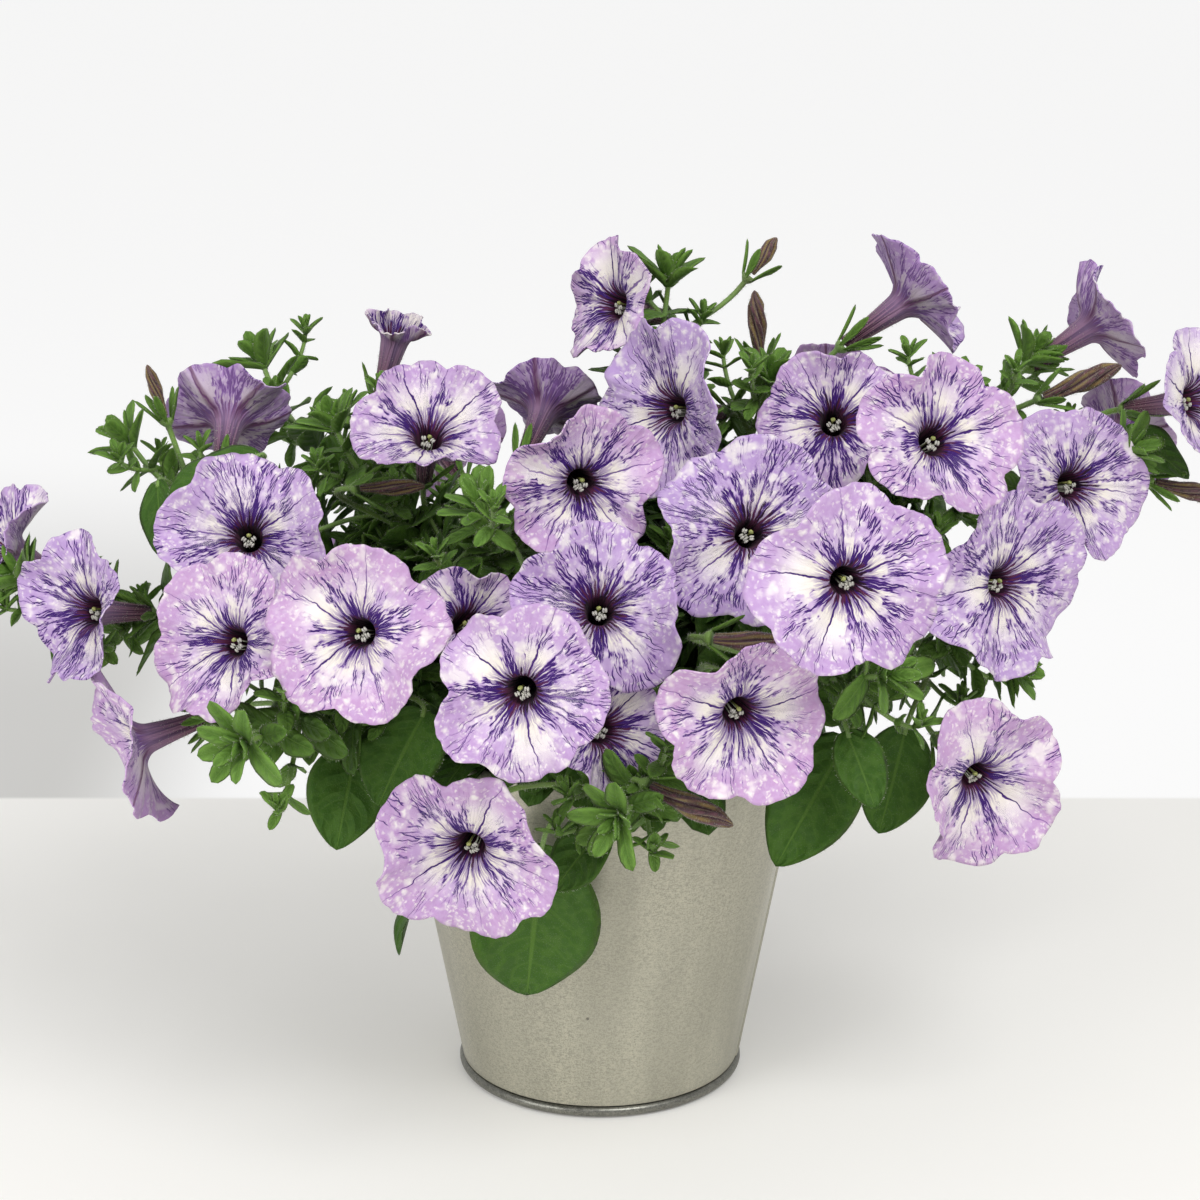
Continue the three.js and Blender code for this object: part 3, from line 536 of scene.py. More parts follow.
class Graph:
    """Short calls that add nodes to a tree and link them."""

    def __init__(self, tree):
        self.tree = tree

    def feed(self, socket, value):
        if isinstance(value, Value):
            self.tree.links.new(value.socket, socket)
        elif value is not None:
            socket.default_value = value

    def add(self, kind, feeds=(), **settings):
        """Adds a node and returns its outputs."""
        node = self.tree.nodes.new(kind)
        for key, value in settings.items():
            setattr(node, key, value)
        for socket, value in dict(feeds).items():
            self.feed(node.inputs[socket], value)
        return Outputs(self, node.outputs)

    def math(self, operation, *values, clamp=False):
        feeds = dict(enumerate(values))
        return self.add("ShaderNodeMath", feeds, operation=operation, use_clamp=clamp)[0]

    def most(self, first, *others):
        for other in others:
            first = self.math("MAXIMUM", first, other)
        return first

    def vector(self, operation, *values):
        return self.add("ShaderNodeVectorMath", dict(enumerate(values)), operation=operation)[0]

    def step(self, value, low, high, start=0.0, end=1.0):
        feeds = {"Value": value, "From Min": low, "From Max": high, "To Min": start, "To Max": end}
        return self.add("ShaderNodeMapRange", feeds, interpolation_type="SMOOTHSTEP")[0]

    def mix(self, share, first, second):
        """Blends two colours: sockets 6 and 7 take them, output 2 gives the blend."""
        return self.add("ShaderNodeMix", {0: share, 6: first, 7: second}, data_type="RGBA")[2]

    def noise(self, place, scale=1.0, detail=2.0, roughness=0.5):
        feeds = {"Vector": place, "Scale": scale, "Detail": detail, "Roughness": roughness}
        return self.add("ShaderNodeTexNoise", feeds)[0]

    def spots(self, place, scale):
        cells = self.add("ShaderNodeTexVoronoi", {"Vector": place, "Scale": scale})
        return cells["Distance"], cells["Color"]

    def split(self, vector):
        return self.add("ShaderNodeSeparateXYZ", {0: vector})

    def join(self, x, y, z):
        return self.add("ShaderNodeCombineXYZ", {0: x, 1: y, 2: z})[0]

    def attribute(self, name):
        return self.add("ShaderNodeAttribute", attribute_name=name)["Vector"]

    def place(self):
        return self.add("ShaderNodeTexCoord")["Object"]

    def bump(self, height, strength, distance):
        feeds = {"Height": height, "Strength": strength, "Distance": distance * MM}
        return self.add("ShaderNodeBump", feeds)[0]

    def use(self, group, feeds):
        return self.add("ShaderNodeGroup", feeds, node_tree=group)


def new_group(name, inputs, outputs):
    """A shader group with named sockets: (name, kind, default) in, (name, kind) out."""
    tree = bpy.data.node_groups.new(name, "ShaderNodeTree")
    for socket, kind, value in inputs:
        made = tree.interface.new_socket(
            socket, in_out="INPUT", socket_type="NodeSocket" + kind
        )
        if value is not None:
            made.default_value = value
    for socket, kind in outputs:
        tree.interface.new_socket(socket, in_out="OUTPUT", socket_type="NodeSocket" + kind)
    graph = Graph(tree)
    return graph, graph.add("NodeGroupInput"), tree.nodes.new("NodeGroupOutput").inputs


def once(make):
    """Builds a group or material the first time it is asked for."""
    made = {}

    def get():
        if "it" not in made:
            made["it"] = make()
        return made["it"]

    return get


def settings_of(title):
    return getattr(bpy.context.scene, "petunia_" + title)


def finish(name, **numbers):
    """Makes a material, once, from a function that gives the sockets of its shader."""
    def wrap(paint):
        @once
        def get():
            material = bpy.data.materials.new(name)
            material.use_nodes = True
            graph = Graph(material.node_tree)
            shader = material.node_tree.nodes["Principled BSDF"].inputs
            for socket, value in {**numbers, **paint(graph)}.items():
                graph.feed(shader[socket.replace("_", " ")], value)
            return material

        return get

    return wrap


@once
def vein_group():
    """Thin lines along one direction, each with its own place, reach and strength."""
    g, i, o = new_group(
        "veins",
        [("Turn", "Float", None), ("Out", "Float", 1.0), ("Count", "Float", 40.0),
         ("Width", "Float", 0.04), ("Reach", "Float", 2.0), ("Seed", "Float", 0.0)],
        [("Lines", "Float")],
    )
    place = i["Turn"] * i["Count"]
    cell = g.math("FLOOR", place) % i["Count"]
    dice = g.add("ShaderNodeTexWhiteNoise", {"Vector": g.join(cell, i["Seed"], i["Count"])},
                 noise_dimensions="3D")["Color"]
    shift, reach, force = g.split(dice)
    middle = shift * 0.5 + 0.25
    off = abs(g.math("FRACT", place) - middle)
    apart = off * (i["Out"] * FULL) / i["Count"]
    end = i["Reach"] * (reach * 0.9 + 0.5)
    thin = g.step(i["Out"], 0.7, end, 1.2, 0.45)
    width = i["Width"] * thin
    lines = g.step(apart, width * 0.45, width, 1.0, 0.0)
    lines = lines * g.step(i["Out"], end * 0.6, end, 1, 0)
    g.feed(o["Lines"], lines * (force * 0.4 + 0.6))
    return g.tree


PETAL_COLOURS = ("Lilac", "Mauve", "Pale", "Cream", "Violet", "Ink", "Throat")


@once
def petal_group():
    """Pattern of a petunia limb, from the place around and out from the throat."""
    g, i, o = new_group(
        "petal_pattern",
        [("Polar", "Vector", None), ("Mark", "Vector", None),
         *((title, "Color", None) for title in PETAL_COLOURS)],
        [("Color", "Color"), ("Height", "Float")],
    )
    cos, sin, out = g.split(i["Polar"])
    _, seed, ink = g.split(i["Mark"])
    flat = g.join(cos * out, sin * out, seed)

    def cloud(scale, low, high, start=0.0, end=1.0, detail=2.0):
        return g.step(g.noise(flat, scale, detail), low, high, start, end)

    # Turn around the throat, bent a little so that no line runs straight.
    sway = g.noise(flat, 1.1, 1.0) - 0.5
    fret = g.noise(flat, 4.5, 1.0) - 0.5
    turn = g.math("ARCTAN2", sin, cos) / FULL
    turn = turn + (sway * 0.028 + fret * 0.02 / g.most(out, 0.5))
    lobe = turn * 5.0 + 0.5
    which = g.math("FLOOR", lobe) % 5.0
    beside = g.math("FRACT", lobe) - 0.5
    side = abs(beside)
    own = seed + (which * 3.1 + g.math("SIGN", beside) * 0.9)
    dice = g.add("ShaderNodeTexWhiteNoise", {"Vector": g.join(which, seed, 4.0)},
                 noise_dimensions="3D")["Color"]
    pale_lobe, pale_reach, pale_wide = g.split(dice)

    drift = g.noise(g.join(cos * 1.3, sin * 1.3, seed), 1.0, 1.0)
    drift = g.step(drift, 0.3, 0.7, 0.62, 1.4) * (ink * 0.5 + 0.72)

    def veins(count, width, reach, lean, mark):
        """Lines around the whole limb, or branches that lean away from each lobe's rib."""
        across = turn
        if lean:
            bent = g.math("LOGARITHM", g.most(out, 0.3), math.e) * lean
            across = (side - bent) / 5.0
        return g.use(vein_group(), {
            "Turn": across, "Out": out, "Count": count, "Width": width,
            "Reach": reach * drift, "Seed": (own if lean else seed) + mark,
        })["Lines"]

    # Light: cream wedges on the lobes, rays between the veins, blotches and round specks.
    wedge_end = pale_reach * 1.5 + 1.5
    wedge = g.step(fret * 0.35 + side, pale_wide * 0.17 + 0.1, pale_wide * 0.22 + 0.17, 1.0, 0.0)
    wedge = wedge * g.step(out, wedge_end * 0.6, wedge_end, 1.0, 0.0)
    wedge = wedge * g.step(pale_lobe, 0.1, 0.35)
    rays = g.noise(g.join(cos * 3.6, sin * 3.6, out * 0.3 + seed), 1.0, 2.0)
    rays = g.step(rays, 0.48, 0.56) * g.step(out, 1.1, 2.4, 1.0, 0.0)
    rays = rays * g.most(cloud(2.4, 0.38, 0.6), g.step(out, 1.0, 1.5, 1.0, 0.0))
    blotch = cloud(1.5, 0.56, 0.72) * g.step(out, 1.0, 2.0, 0.4, 0.85)
    light = g.most(wedge, rays, blotch)

    soft = g.add("ShaderNodeTexNoise", {"Vector": flat, "Scale": 6.0, "Detail": 2.0})[1]
    shift = g.vector("MULTIPLY", g.vector("SUBTRACT", soft, (0.5, 0.5, 0.5)), (0.3, 0.3, 0.0))
    soft = g.vector("ADD", flat, shift)

    def specks(scale, size, rate, channel):
        gap, chance = g.spots(soft, scale)
        chosen = g.step(g.split(chance)[channel], rate, rate + 0.08)
        return g.step(gap, 0.0, size, 1.0, 0.0) * chosen

    speck = g.most(specks(3.0, 0.55, 0.5, 0), specks(7.0, 0.6, 0.4, 1) * 0.85)
    speck = speck * g.step(out, 0.9, 1.9, 0.3, 1.0)

    # Veins: strong ones from the throat, then branches and finer ones, broken further out.
    bundle = g.noise(g.join(cos * 5.5, sin * 5.5, out * 1.5 + seed), 1.0, 2.0)
    broken = g.most(g.step(bundle, 0.4, 0.58), g.step(out, 0.9, 1.6, 1.0, 0.0))
    patch = g.noise(flat, 0.9, 1.0)
    patch = g.step(ink * 0.22 + patch, 0.5, 0.62)
    strong = veins(34, 0.047, 1.7, 0, 0.0)
    second = g.most(veins(56, 0.034, 2.9, 0, 11.0), veins(66, 0.03, 3.3, 0.17, 5.0))
    third = g.most(veins(100, 0.021, 3.6, 0.1, 17.0), veins(84, 0.02, 3.6, -0.13, 23.0))
    second = second * (broken * g.step(out, 0.9, 2.6, 1, 0.7))
    third = third * (broken * (patch * 0.5 + 0.5))
    third = third * g.step(out, 0.8, 1.5)
    lines = g.most(strong, second, third)
    lines = g.math("MULTIPLY", lines, 1.5, clamp=True)
    shade = light * g.step(out, 0.8, 1.4, 0.5, 0.8)
    lines = lines * (1.0 - shade)
    rib_wide = g.step(out, 0.7, 2.6, 0.06, 0.024)
    rib = g.step(side * (out * (FULL / 5)), rib_wide * 0.35, rib_wide, 1.0, 0.0)
    rib = rib * g.step(out, 1.4, 3.2, 0.95, 0.5)
    rib = rib * (pale_wide * 0.5 + 0.5)

    ground = g.mix(g.step(ink, 0.3, 0.9), i["Mauve"], i["Lilac"])
    colour = g.mix(g.step(out, 0.9, 2.4), i["Pale"], ground)
    colour = g.mix(cloud(5.0, 0.35, 0.75, 0.0, 0.4, 3.0), colour, i["Pale"])
    haze = patch * g.step(out, 1.2, 2.8, 0.3, 0.1)
    colour = g.mix(haze, colour, g.mix(0.6, i["Lilac"], i["Violet"]))
    butter = g.mix(g.step(out, 0.9, 2.0, 0.75, 0.0), i["Cream"], [0.80, 0.77, 0.58, 1])
    colour = g.mix(light * 0.84, colour, butter)
    colour = g.mix(speck * 0.9, colour, i["Cream"])
    drawn = g.most(lines, rib)
    colour = g.mix(g.step(drawn, 0.1, 0.75, 0.0, 0.95), colour, i["Violet"])
    colour = g.mix(g.step(drawn, 0.4, 0.9), colour, i["Ink"])
    # Dark throat, with a jagged edge that the veins leave from.
    jag = strong * (ink * 0.42 + 0.3)
    deep = out - (fret * 0.5 + jag)
    dark = g.mix(g.step(bundle, 0.42, 0.56), i["Throat"], [0.085, 0.014, 0.05, 1])
    colour = g.mix(g.step(deep, 0.42, 0.62, 0.95, 0.0), colour, i["Ink"])
    colour = g.mix(g.step(deep, 0.34, 0.5, 1.0, 0.0), colour, dark)
    g.feed(o["Color"], colour)
    lift = lines * -0.35 + rib * -0.8
    crease = g.noise(g.join(cos * 9.0, sin * 9.0, out * 0.7 + seed), 1.0, 2.0)
    g.feed(o["Height"], crease * 1.4 + lift)
    return g.tree


@once
def speckle_group():
    """Fine mottling for metal and soil: two grains and slow clouds."""
    g, i, o = new_group(
        "speckle",
        [("Place", "Vector", None), ("Fine", "Float", 900.0), ("Coarse", "Float", 160.0)],
        [("Grain", "Float"), ("Clouds", "Float")],
    )
    fine = g.noise(i["Place"], i["Fine"], 2.0, 0.6)
    coarse = g.noise(i["Place"], i["Coarse"], 3.0, 0.6)
    grain = fine * 0.65 + coarse * 0.35
    g.feed(o["Grain"], grain)
    g.feed(o["Clouds"], g.noise(i["Place"], 18.0, 3.0, 0.55))
    return g.tree


@once
def fuzz_group():
    """Down on leaves and stems: a soft small bump and a pale bloom on the colour."""
    g, i, o = new_group(
        "down",
        [("Place", "Vector", None), ("Color", "Color", None), ("Pale", "Color", None),
         ("Amount", "Float", 0.3)],
        [("Color", "Color"), ("Height", "Float")],
    )
    gap, _ = g.spots(i["Place"], 1500.0)
    hairs = g.step(gap, 0.1, 0.42, 1.0, 0.0)
    cloud = g.step(g.noise(i["Place"], 140.0, 2.0), 0.4, 0.65, 0.4, 1.0)
    share = hairs * cloud * i["Amount"]
    g.feed(o["Color"], g.mix(share, i["Color"], i["Pale"]))
    g.feed(o["Height"], hairs * 0.5 + g.noise(i["Place"], 420.0, 2.0))
    return g.tree


# ---- materials --------------------------------------------------------------
def tinted(colour, *shares):
    """A colour scaled by one share, or by one for each channel."""
    shares = shares * 3 if len(shares) == 1 else shares
    return [c * k for c, k in zip(colour[:3], shares)] + [1]


def petal_pattern(g):
    """The pattern of a limb, with the place and marks of its points and the set colours."""
    settings = settings_of("bloom")
    colours = {title: getattr(settings, title.lower()) for title in PETAL_COLOURS}
    return g.use(petal_group(), {
        "Polar": g.attribute("polar"), "Mark": g.attribute("mark"), **colours,
    })


def downy(g, place, colour, amount):
    """A green skin's colour and height with the down on it."""
    return g.use(fuzz_group(), {
        "Place": place, "Color": colour, "Pale": settings_of("foliage").hair, "Amount": amount,
    })


@finish("petal_face", Roughness=0.62, Specular_IOR_Level=0.2, Sheen_Weight=0.05)
def petal_face(g):
    outs = petal_pattern(g)
    return {"Base_Color": outs["Color"], "Normal": g.bump(outs["Height"], 0.6, 0.8)}


@finish("petal_back", Roughness=0.62, Specular_IOR_Level=0.2, Sheen_Weight=0.1)
def petal_back(g):
    """The paler back of the limb, with ribs, and the dark hairy tube."""
    s = settings_of("bloom")
    outs = petal_pattern(g)
    cos, sin, out = g.split(g.attribute("polar"))
    line, _, _ = g.split(g.attribute("mark"))
    plum = tinted(s.mauve, 0.62, 0.5, 0.75)
    colour = g.mix(0.45, outs["Color"], plum)
    rib = g.step(line, 0.03, g.step(out, 0.6, 2.8, 0.24, 0.07), 1.0, 0.0)
    colour = g.mix(rib * 0.75, colour, (0.13, 0.04, 0.1, 1))
    streaks = g.noise(g.join(cos * 6.0, sin * 6.0, out * 0.8), 1.0, 2.0)
    tube = g.mix(g.step(streaks, 0.42, 0.58), (0.05, 0.014, 0.035, 1), (0.23, 0.11, 0.15, 1))
    tube = g.mix(g.step(out, 0.1, 0.5, 0.0, 0.35), tube, s.lilac)
    colour = g.mix(g.step(out, 0.42, 0.9, 1.0, 0.0), colour, tube)
    return {"Base_Color": colour, "Normal": g.bump(outs["Height"], 0.6, 0.8)}


@finish("anther", Roughness=0.8)
def pollen_white(g):
    grain = g.noise(g.place(), 2600.0, 2.0)
    return {
        "Base_Color": g.mix(g.step(grain, 0.35, 0.6), (0.24, 0.23, 0.22, 1), (0.58, 0.57, 0.5, 1)),
        "Normal": g.bump(grain, 0.6, 0.2),
    }


@finish("stigma", Roughness=0.4)
def stigma_green(g):
    grain = g.noise(g.place(), 1800.0, 2.0)
    return {
        "Base_Color": g.mix(
            g.step(grain, 0.35, 0.65), (0.16, 0.21, 0.05, 1), (0.42, 0.42, 0.14, 1)),
        "Normal": g.bump(grain, 0.4, 0.1),
    }


@finish("hair", Roughness=0.55)
def hair_pale(g):
    s = settings_of("foliage")
    tone = g.noise(g.place(), 500.0, 1.0)
    dark = tinted(s.hair, 0.72)
    return {"Base_Color": g.mix(g.step(tone, 0.35, 0.65), dark, s.hair)}


@finish("leaf", Specular_IOR_Level=0.18, Sheen_Weight=0.04, Sheen_Roughness=0.5)
def leaf_green(g):
    """Green blade: dark to light with age, pale ribs and margin, down and small blisters."""
    s = settings_of("foliage")
    along, across, age = g.split(g.attribute("leaf"))
    wide = abs(across)
    place = g.place()
    cloud = g.noise(place, 90.0, 3.0)
    young = (cloud - 0.5) * 0.5 + age
    colour = g.mix(g.step(young, 0.0, 1.0), s.grown, s.young)
    shaded = g.mix(0.55, colour, s.grown)
    colour = g.mix(g.step(wide, 0.1, 0.85), shaded, colour)
    # Side veins leave the rib forwards and bend to the tip, five to a side.
    bent = wide * wide * 0.2
    run = (along - (wide * 0.1 + bent)) * 5.0
    wave = g.noise(place, 55.0, 2.0) * 1.3
    fold = g.math("FRACT", g.math("ADD", run, wave))
    side = g.step(abs(fold - 0.5), 0.025, 0.085, 1.0, 0.0)
    side = side * g.step(wide, 0.45, 0.85, 0.34, 0.0)
    rib = g.step(wide, 0.02, along * -0.05 + 0.09, 1.0, 0.0)
    rim = g.step(wide, 0.86, 0.99, 0.0, 1.0)
    fret = g.add("ShaderNodeTexNoise", {"Vector": place, "Scale": 260.0})[1]
    shift = g.vector("MULTIPLY", fret, (0.002, 0.002, 0.002))
    net, _ = g.spots(g.vector("ADD", place, shift), 330.0)
    net = g.step(net, 0.42, 0.72, 0.0, 0.3)
    veins = g.most(side, rib * 0.8, rim, net)
    colour = g.mix(veins * g.step(age, 0.0, 0.5, 0.34, 0.5), colour, s.vein)
    down = downy(g, place, colour, 0.06)
    inner = g.step(wide, 0.0, 0.3) * g.step(wide, 0.6, 1.0, 1.0, 0.0)
    quilt = g.math("SINE", fold * math.pi) * inner
    quilt = quilt * g.step(age, 0.0, 1.0, -2.6, -0.8)
    height = g.math("ADD", quilt, veins * -0.8 + down["Height"])
    return {
        "Base_Color": down["Color"],
        "Roughness": g.step(cloud, 0.3, 0.7, 0.5, 0.66),
        "Normal": g.bump(height, 0.6, 0.5),
    }


@finish("stem", Roughness=0.6, Sheen_Weight=0.15)
def stem_green(g):
    s = settings_of("foliage")
    place = g.place()
    flush = g.step(g.noise(place, 45.0, 2.0), 0.5, 0.75)
    colour = g.mix(g.step(g.noise(place, 160.0, 2.0), 0.3, 0.7), s.stem, s.vein)
    colour = g.mix(flush * 0.45, colour, (0.1, 0.085, 0.05, 1))
    down = downy(g, place, colour, 0.2)
    return {"Base_Color": down["Color"], "Normal": g.bump(down["Height"], 0.5, 0.25)}


@finish("bud_skin", Roughness=0.55, Sheen_Weight=0.3)
def bud_skin(g):
    """Furled petals: plum and brown pleats that wind around, green-gold between."""
    along, pleat, faded = g.split(g.attribute("leaf"))
    place = g.place()
    streak = g.noise(g.join(pleat * 3.0, along * 2.5, faded), 4.0, 3.0)
    fold = g.step(abs(pleat), 0.15, 0.8)
    plum = g.mix(g.step(streak, 0.38, 0.6), (0.026, 0.006, 0.012, 1), (0.115, 0.03, 0.05, 1))
    gold = g.mix(g.step(streak, 0.4, 0.6), (0.19, 0.15, 0.035, 1), (0.31, 0.19, 0.07, 1))
    colour = g.mix(fold, gold, plum)
    worn = g.step(g.noise(place, 170.0, 2.0), 0.45, 0.6) * 0.7
    colour = g.mix(faded * worn, colour, plum)
    down = downy(g, place, colour, 0.14)
    height = streak * 1.5 + down["Height"]
    return {"Base_Color": down["Color"], "Normal": g.bump(height, 0.6, 0.4)}


def metal(g, colour, dark, spread):
    """Galvanised sheet: fine grain, rolling streaks around the pot, worn clouds, and upright bands
    of painted reflection that also vary the roughness.
    """
    place = g.place()
    parts = g.use(speckle_group(), {"Place": place, "Fine": 2300.0, "Coarse": 800.0})
    x, y, z = g.split(place)
    angle = g.math("ARCTAN2", y, x)
    radius = g.math("SQRT", x * x + y * y)
    run = z + radius
    drawn = g.noise(g.join(angle * 30.0, 0.0, run * 1500.0), 1.0, 3.0, 0.6)
    painted_reflection_and_rough_bands = g.noise(g.join(x * 55.0, y * 55.0, z * 4.0), 1.0, 2.0)
    rubbed = g.noise(g.join(angle * 7.0, 3.0, run * 330.0), 1.0, 4.0, 0.65)
    high = g.step(z, 0.085, 0.135)
    rubbed = g.step(rubbed, 0.56, 0.66) * (high * 0.5 + 0.12)
    tone = drawn * 0.3 + parts["Grain"] * 0.7
    warm = tinted(colour, 1.13, 1.12, 1.08)
    made = g.mix(g.step(tone, 0.4, 0.58), tinted(colour, dark), warm)
    made = g.mix(g.step(parts["Clouds"], 0.35, 0.75, 0.0, 0.35), made, colour)
    # Painted reflection: soft upright bands darken the colour, as reflections on the metal would.
    made = g.mix(g.step(painted_reflection_and_rough_bands, 0.3, 0.7, 0.0, 0.32), made, tinted(colour, 0.62))
    made = g.mix(rubbed, made, tinted(colour, 0.55))
    gap, chance = g.spots(place, 55.0)
    pit = g.step(gap, 0.03, 0.05, 1.0, 0.0) * g.step(chance, 0.5, 0.6)
    made = g.mix(pit * 0.7, made, (0.09, 0.085, 0.07, 1))
    rough = painted_reflection_and_rough_bands * spread + tone * 0.25
    return {"Base_Color": made, "Roughness": rough, "Normal": g.bump(tone - pit, 0.18, 0.1)}


@finish("galvanised_wall", Metallic=0.75)
def wall_metal(g):
    return metal(g, settings_of("pot").zinc, 0.68, 0.5)


@finish("worn_bead", Metallic=0.9)
def bead_metal(g):
    return metal(g, settings_of("pot").bead, 0.5, 0.45)


@finish("soil", Roughness=0.95)
def soil_brown(g):
    s = settings_of("pot")
    place = g.place()
    parts = g.use(speckle_group(), {"Place": place, "Fine": 900.0, "Coarse": 260.0})
    gap, chance = g.spots(place, 330.0)
    fibre = g.step(g.split(chance)[0], 0.78, 0.84)
    colour = g.mix(g.step(parts["Grain"], 0.35, 0.65), s.soil, (0.085, 0.055, 0.032, 1))
    colour = g.mix(fibre * 0.6, colour, (0.18, 0.12, 0.07, 1))
    height = parts["Grain"] - gap
    return {"Base_Color": colour, "Normal": g.bump(height, 0.9, 1.2)}


# ---- blooms -----------------------------------------------------------------
def limb_shape(bloom, index, angle):
    """Length, opening and curl of the limb at each angle around the throat."""
    n = index + 1
    spread, opening, curl = bloom[6:9]
    five = np.cos(5 * angle)
    seam = ((1 - five) / 2) ** 4
    uneven = 0.05 * np.sin(2 * angle + 6 * draw(n, 1)) + 0.03 * np.sin(3 * angle + 6 * draw(n, 2))
    length = (spread / 2 - THROAT_RADIUS) * 1.04 * (1 - NOTCH_DEPTH * seam + uneven)
    opening = opening + 7 * np.sin(angle + 6 * draw(n, 3))
    curl = curl - LOBE_ARCH * five + 22 * np.sin(2 * angle + 6 * draw(n, 4))
    curl = curl + 16 * np.sin(3 * angle + 6 * draw(n, 5))
    return length, np.radians(opening), np.radians(curl)


def limb_point(shape, part, lift):
    length, opening, curl = shape
    bend = np.where(np.abs(curl) < 1e-3, 1e-3, curl)
    turn = opening + bend * part
    r = THROAT_RADIUS + length * (np.sin(turn) - np.sin(opening)) / bend
    z = length * (np.cos(opening) - np.cos(turn)) / bend
    return r - np.sin(turn) * lift, z + np.cos(turn) * lift


def tube_radius(t):
    """Radius of the tube, from its base (0) to where the throat opens (1)."""
    return TUBE_RADIUS + 2.2 * (0.4 * t + 0.6 * t * t)


def bloom_rows(bloom, index, angle, ruffle):
    """Rows of (radius, height, place in the pattern) from the tube's base to the edge."""
    shape = limb_shape(bloom, index, angle)
    lobe = (angle * 5 / FULL + 0.5) % 1 - 0.5
    seeds = [FULL * draw(index, 70 + k) for k in range(8)]
    cleft = np.exp(-(((0.5 - np.abs(lobe)) / 0.045) ** 2))
    scallop = np.abs(np.sin(7.5 * angle + 0.35 * np.sin(angle + seeds[0]) + seeds[1])) ** 0.6
    crimp = 0.028 * (scallop - 0.6) + 0.008 * np.sin(23 * angle + seeds[2])
    crimp = crimp + 0.006 * np.sin(37 * angle + seeds[3]) - 0.035 * cleft
    crimp = crimp + 0.02 * np.exp(-((lobe / 0.06) ** 2))
    wave = (0.6 * np.sin(6 * angle + seeds[4]) + 0.4 * np.sin(11 * angle + seeds[5])
            + 0.22 * np.sin(17 * angle + seeds[6]))
    swell = 1.7 * np.sin(4 * angle + seeds[7]) - 0.6 * np.cos(5 * angle)
    fold = np.exp(-((lobe / 0.07) ** 2))
    pleat = np.cos(30 * angle + 2 * np.sin(3 * angle + seeds[1]))
    rows = [(0 * angle, 0 * angle - TUBE_LENGTH, 0 * angle)]
    for t in np.linspace(0, 1, 6):
        rows.append((np.full_like(angle, tube_radius(t)),
                     np.full_like(angle, 22.5 * t - TUBE_LENGTH),
                     np.full_like(angle, 0.42 * t)))
    start_r, start_z, _ = rows[-1]
    end_r, end_z = limb_point(shape, 0.14, 0)
    end_out = (THROAT_RADIUS + 0.14 * shape[0]) / 10
    for t in (0.15, 0.32, 0.5, 0.7, 0.86):
        a, b, c = (1 - t) ** 2, 2 * t * (1 - t), t * t
        rows.append((a * start_r + b * 5.2 + c * end_r, a * start_z - b * 0.9 + c * end_z,
                     0.42 * (1 - t) + end_out * t))
    for part in np.linspace(0.14, 1, 18):
        lift = ruffle * (wave * part**3 + swell * part * (1 - 0.4 * part))
        lift = lift - 0.6 * fold * math.sin(math.pi * min(part * 1.1, 1))
        lift = lift - 0.5 * cleft * part + 0.26 * pleat * part
        r, z = limb_point(shape, part * (1 + crimp * part**7), lift)
        rows.append((r, z, (THROAT_RADIUS + part * shape[0]) / 10))
    return rows


def add_ball(heap, centre, axis, long, wide, finish):
    """A small rounded grain: an ellipsoid with its long side on the given axis."""
    t = np.linspace(0, math.pi, 6)
    line = centre - np.outer(np.cos(t), axis) * long / 2
    _, across, other = ring_frames(line)[2]
    a = np.arange(8) * FULL / 8
    circle = np.outer(np.cos(a), across) + np.outer(np.sin(a), other)
    points = (line[:, None] + circle[None] * (np.sin(t) * wide / 2)[:, None, None])
    heap.add(points.reshape(-1, 3), grid_faces(6, 8, True), finish)


def add_heart(heap, at, right, up, out, index, rng):
    """Stamens and stigma in the throat, and the hairs outside on the tube."""
    spots = [(-1.7, -0.3, -2.6), (1.7, -0.2, -2.4), (-0.9, -2.2, -3.2), (1.0, -2.1, -3.0),
             (0.1, -1.1, -3.8)]
    turn = swing(index, 90, 0.9)
    cos, sin = math.cos(turn), math.sin(turn)
    across, above = right * cos + up * sin, up * cos - right * sin
    for k, (x, y, z) in enumerate(spots):
        spot = at + across * x + above * y + out * (z + swing(index, 91 + k, 0.4))
        axis = unit(above + across * swing(index, 97 + k, 0.8) + out * 0.3)
        side = unit(np.cross(axis, out))
        for shift in (-0.42, 0.42):
            add_ball(heap, spot + side * shift, axis, 1.75, 0.95, 0)
        foot = at - out * 19 + (spot - at) * 0.4
        add_bar(heap, [foot, (foot + spot) / 2, spot - out * 0.4], [0.2, 0.2, 0.18], 5, 2)
    knob = at + above * 1.0 - out * 2.3
    add_ball(heap, knob, above, 1.5, 1.9, 1)
    add_bar(heap, [at - out * 20, knob - out * 4, knob], [0.35, 0.35, 0.4], 6, 1)
    heights = np.linspace(0, 1, 7)
    line = [at + out * (21 * t - TUBE_LENGTH) for t in heights]
    radii = [tube_radius(t) + 0.2 for t in heights]
    hairs_on_bar(heap, line, radii, 0.75, 1.0, 0.11, 2, rng)


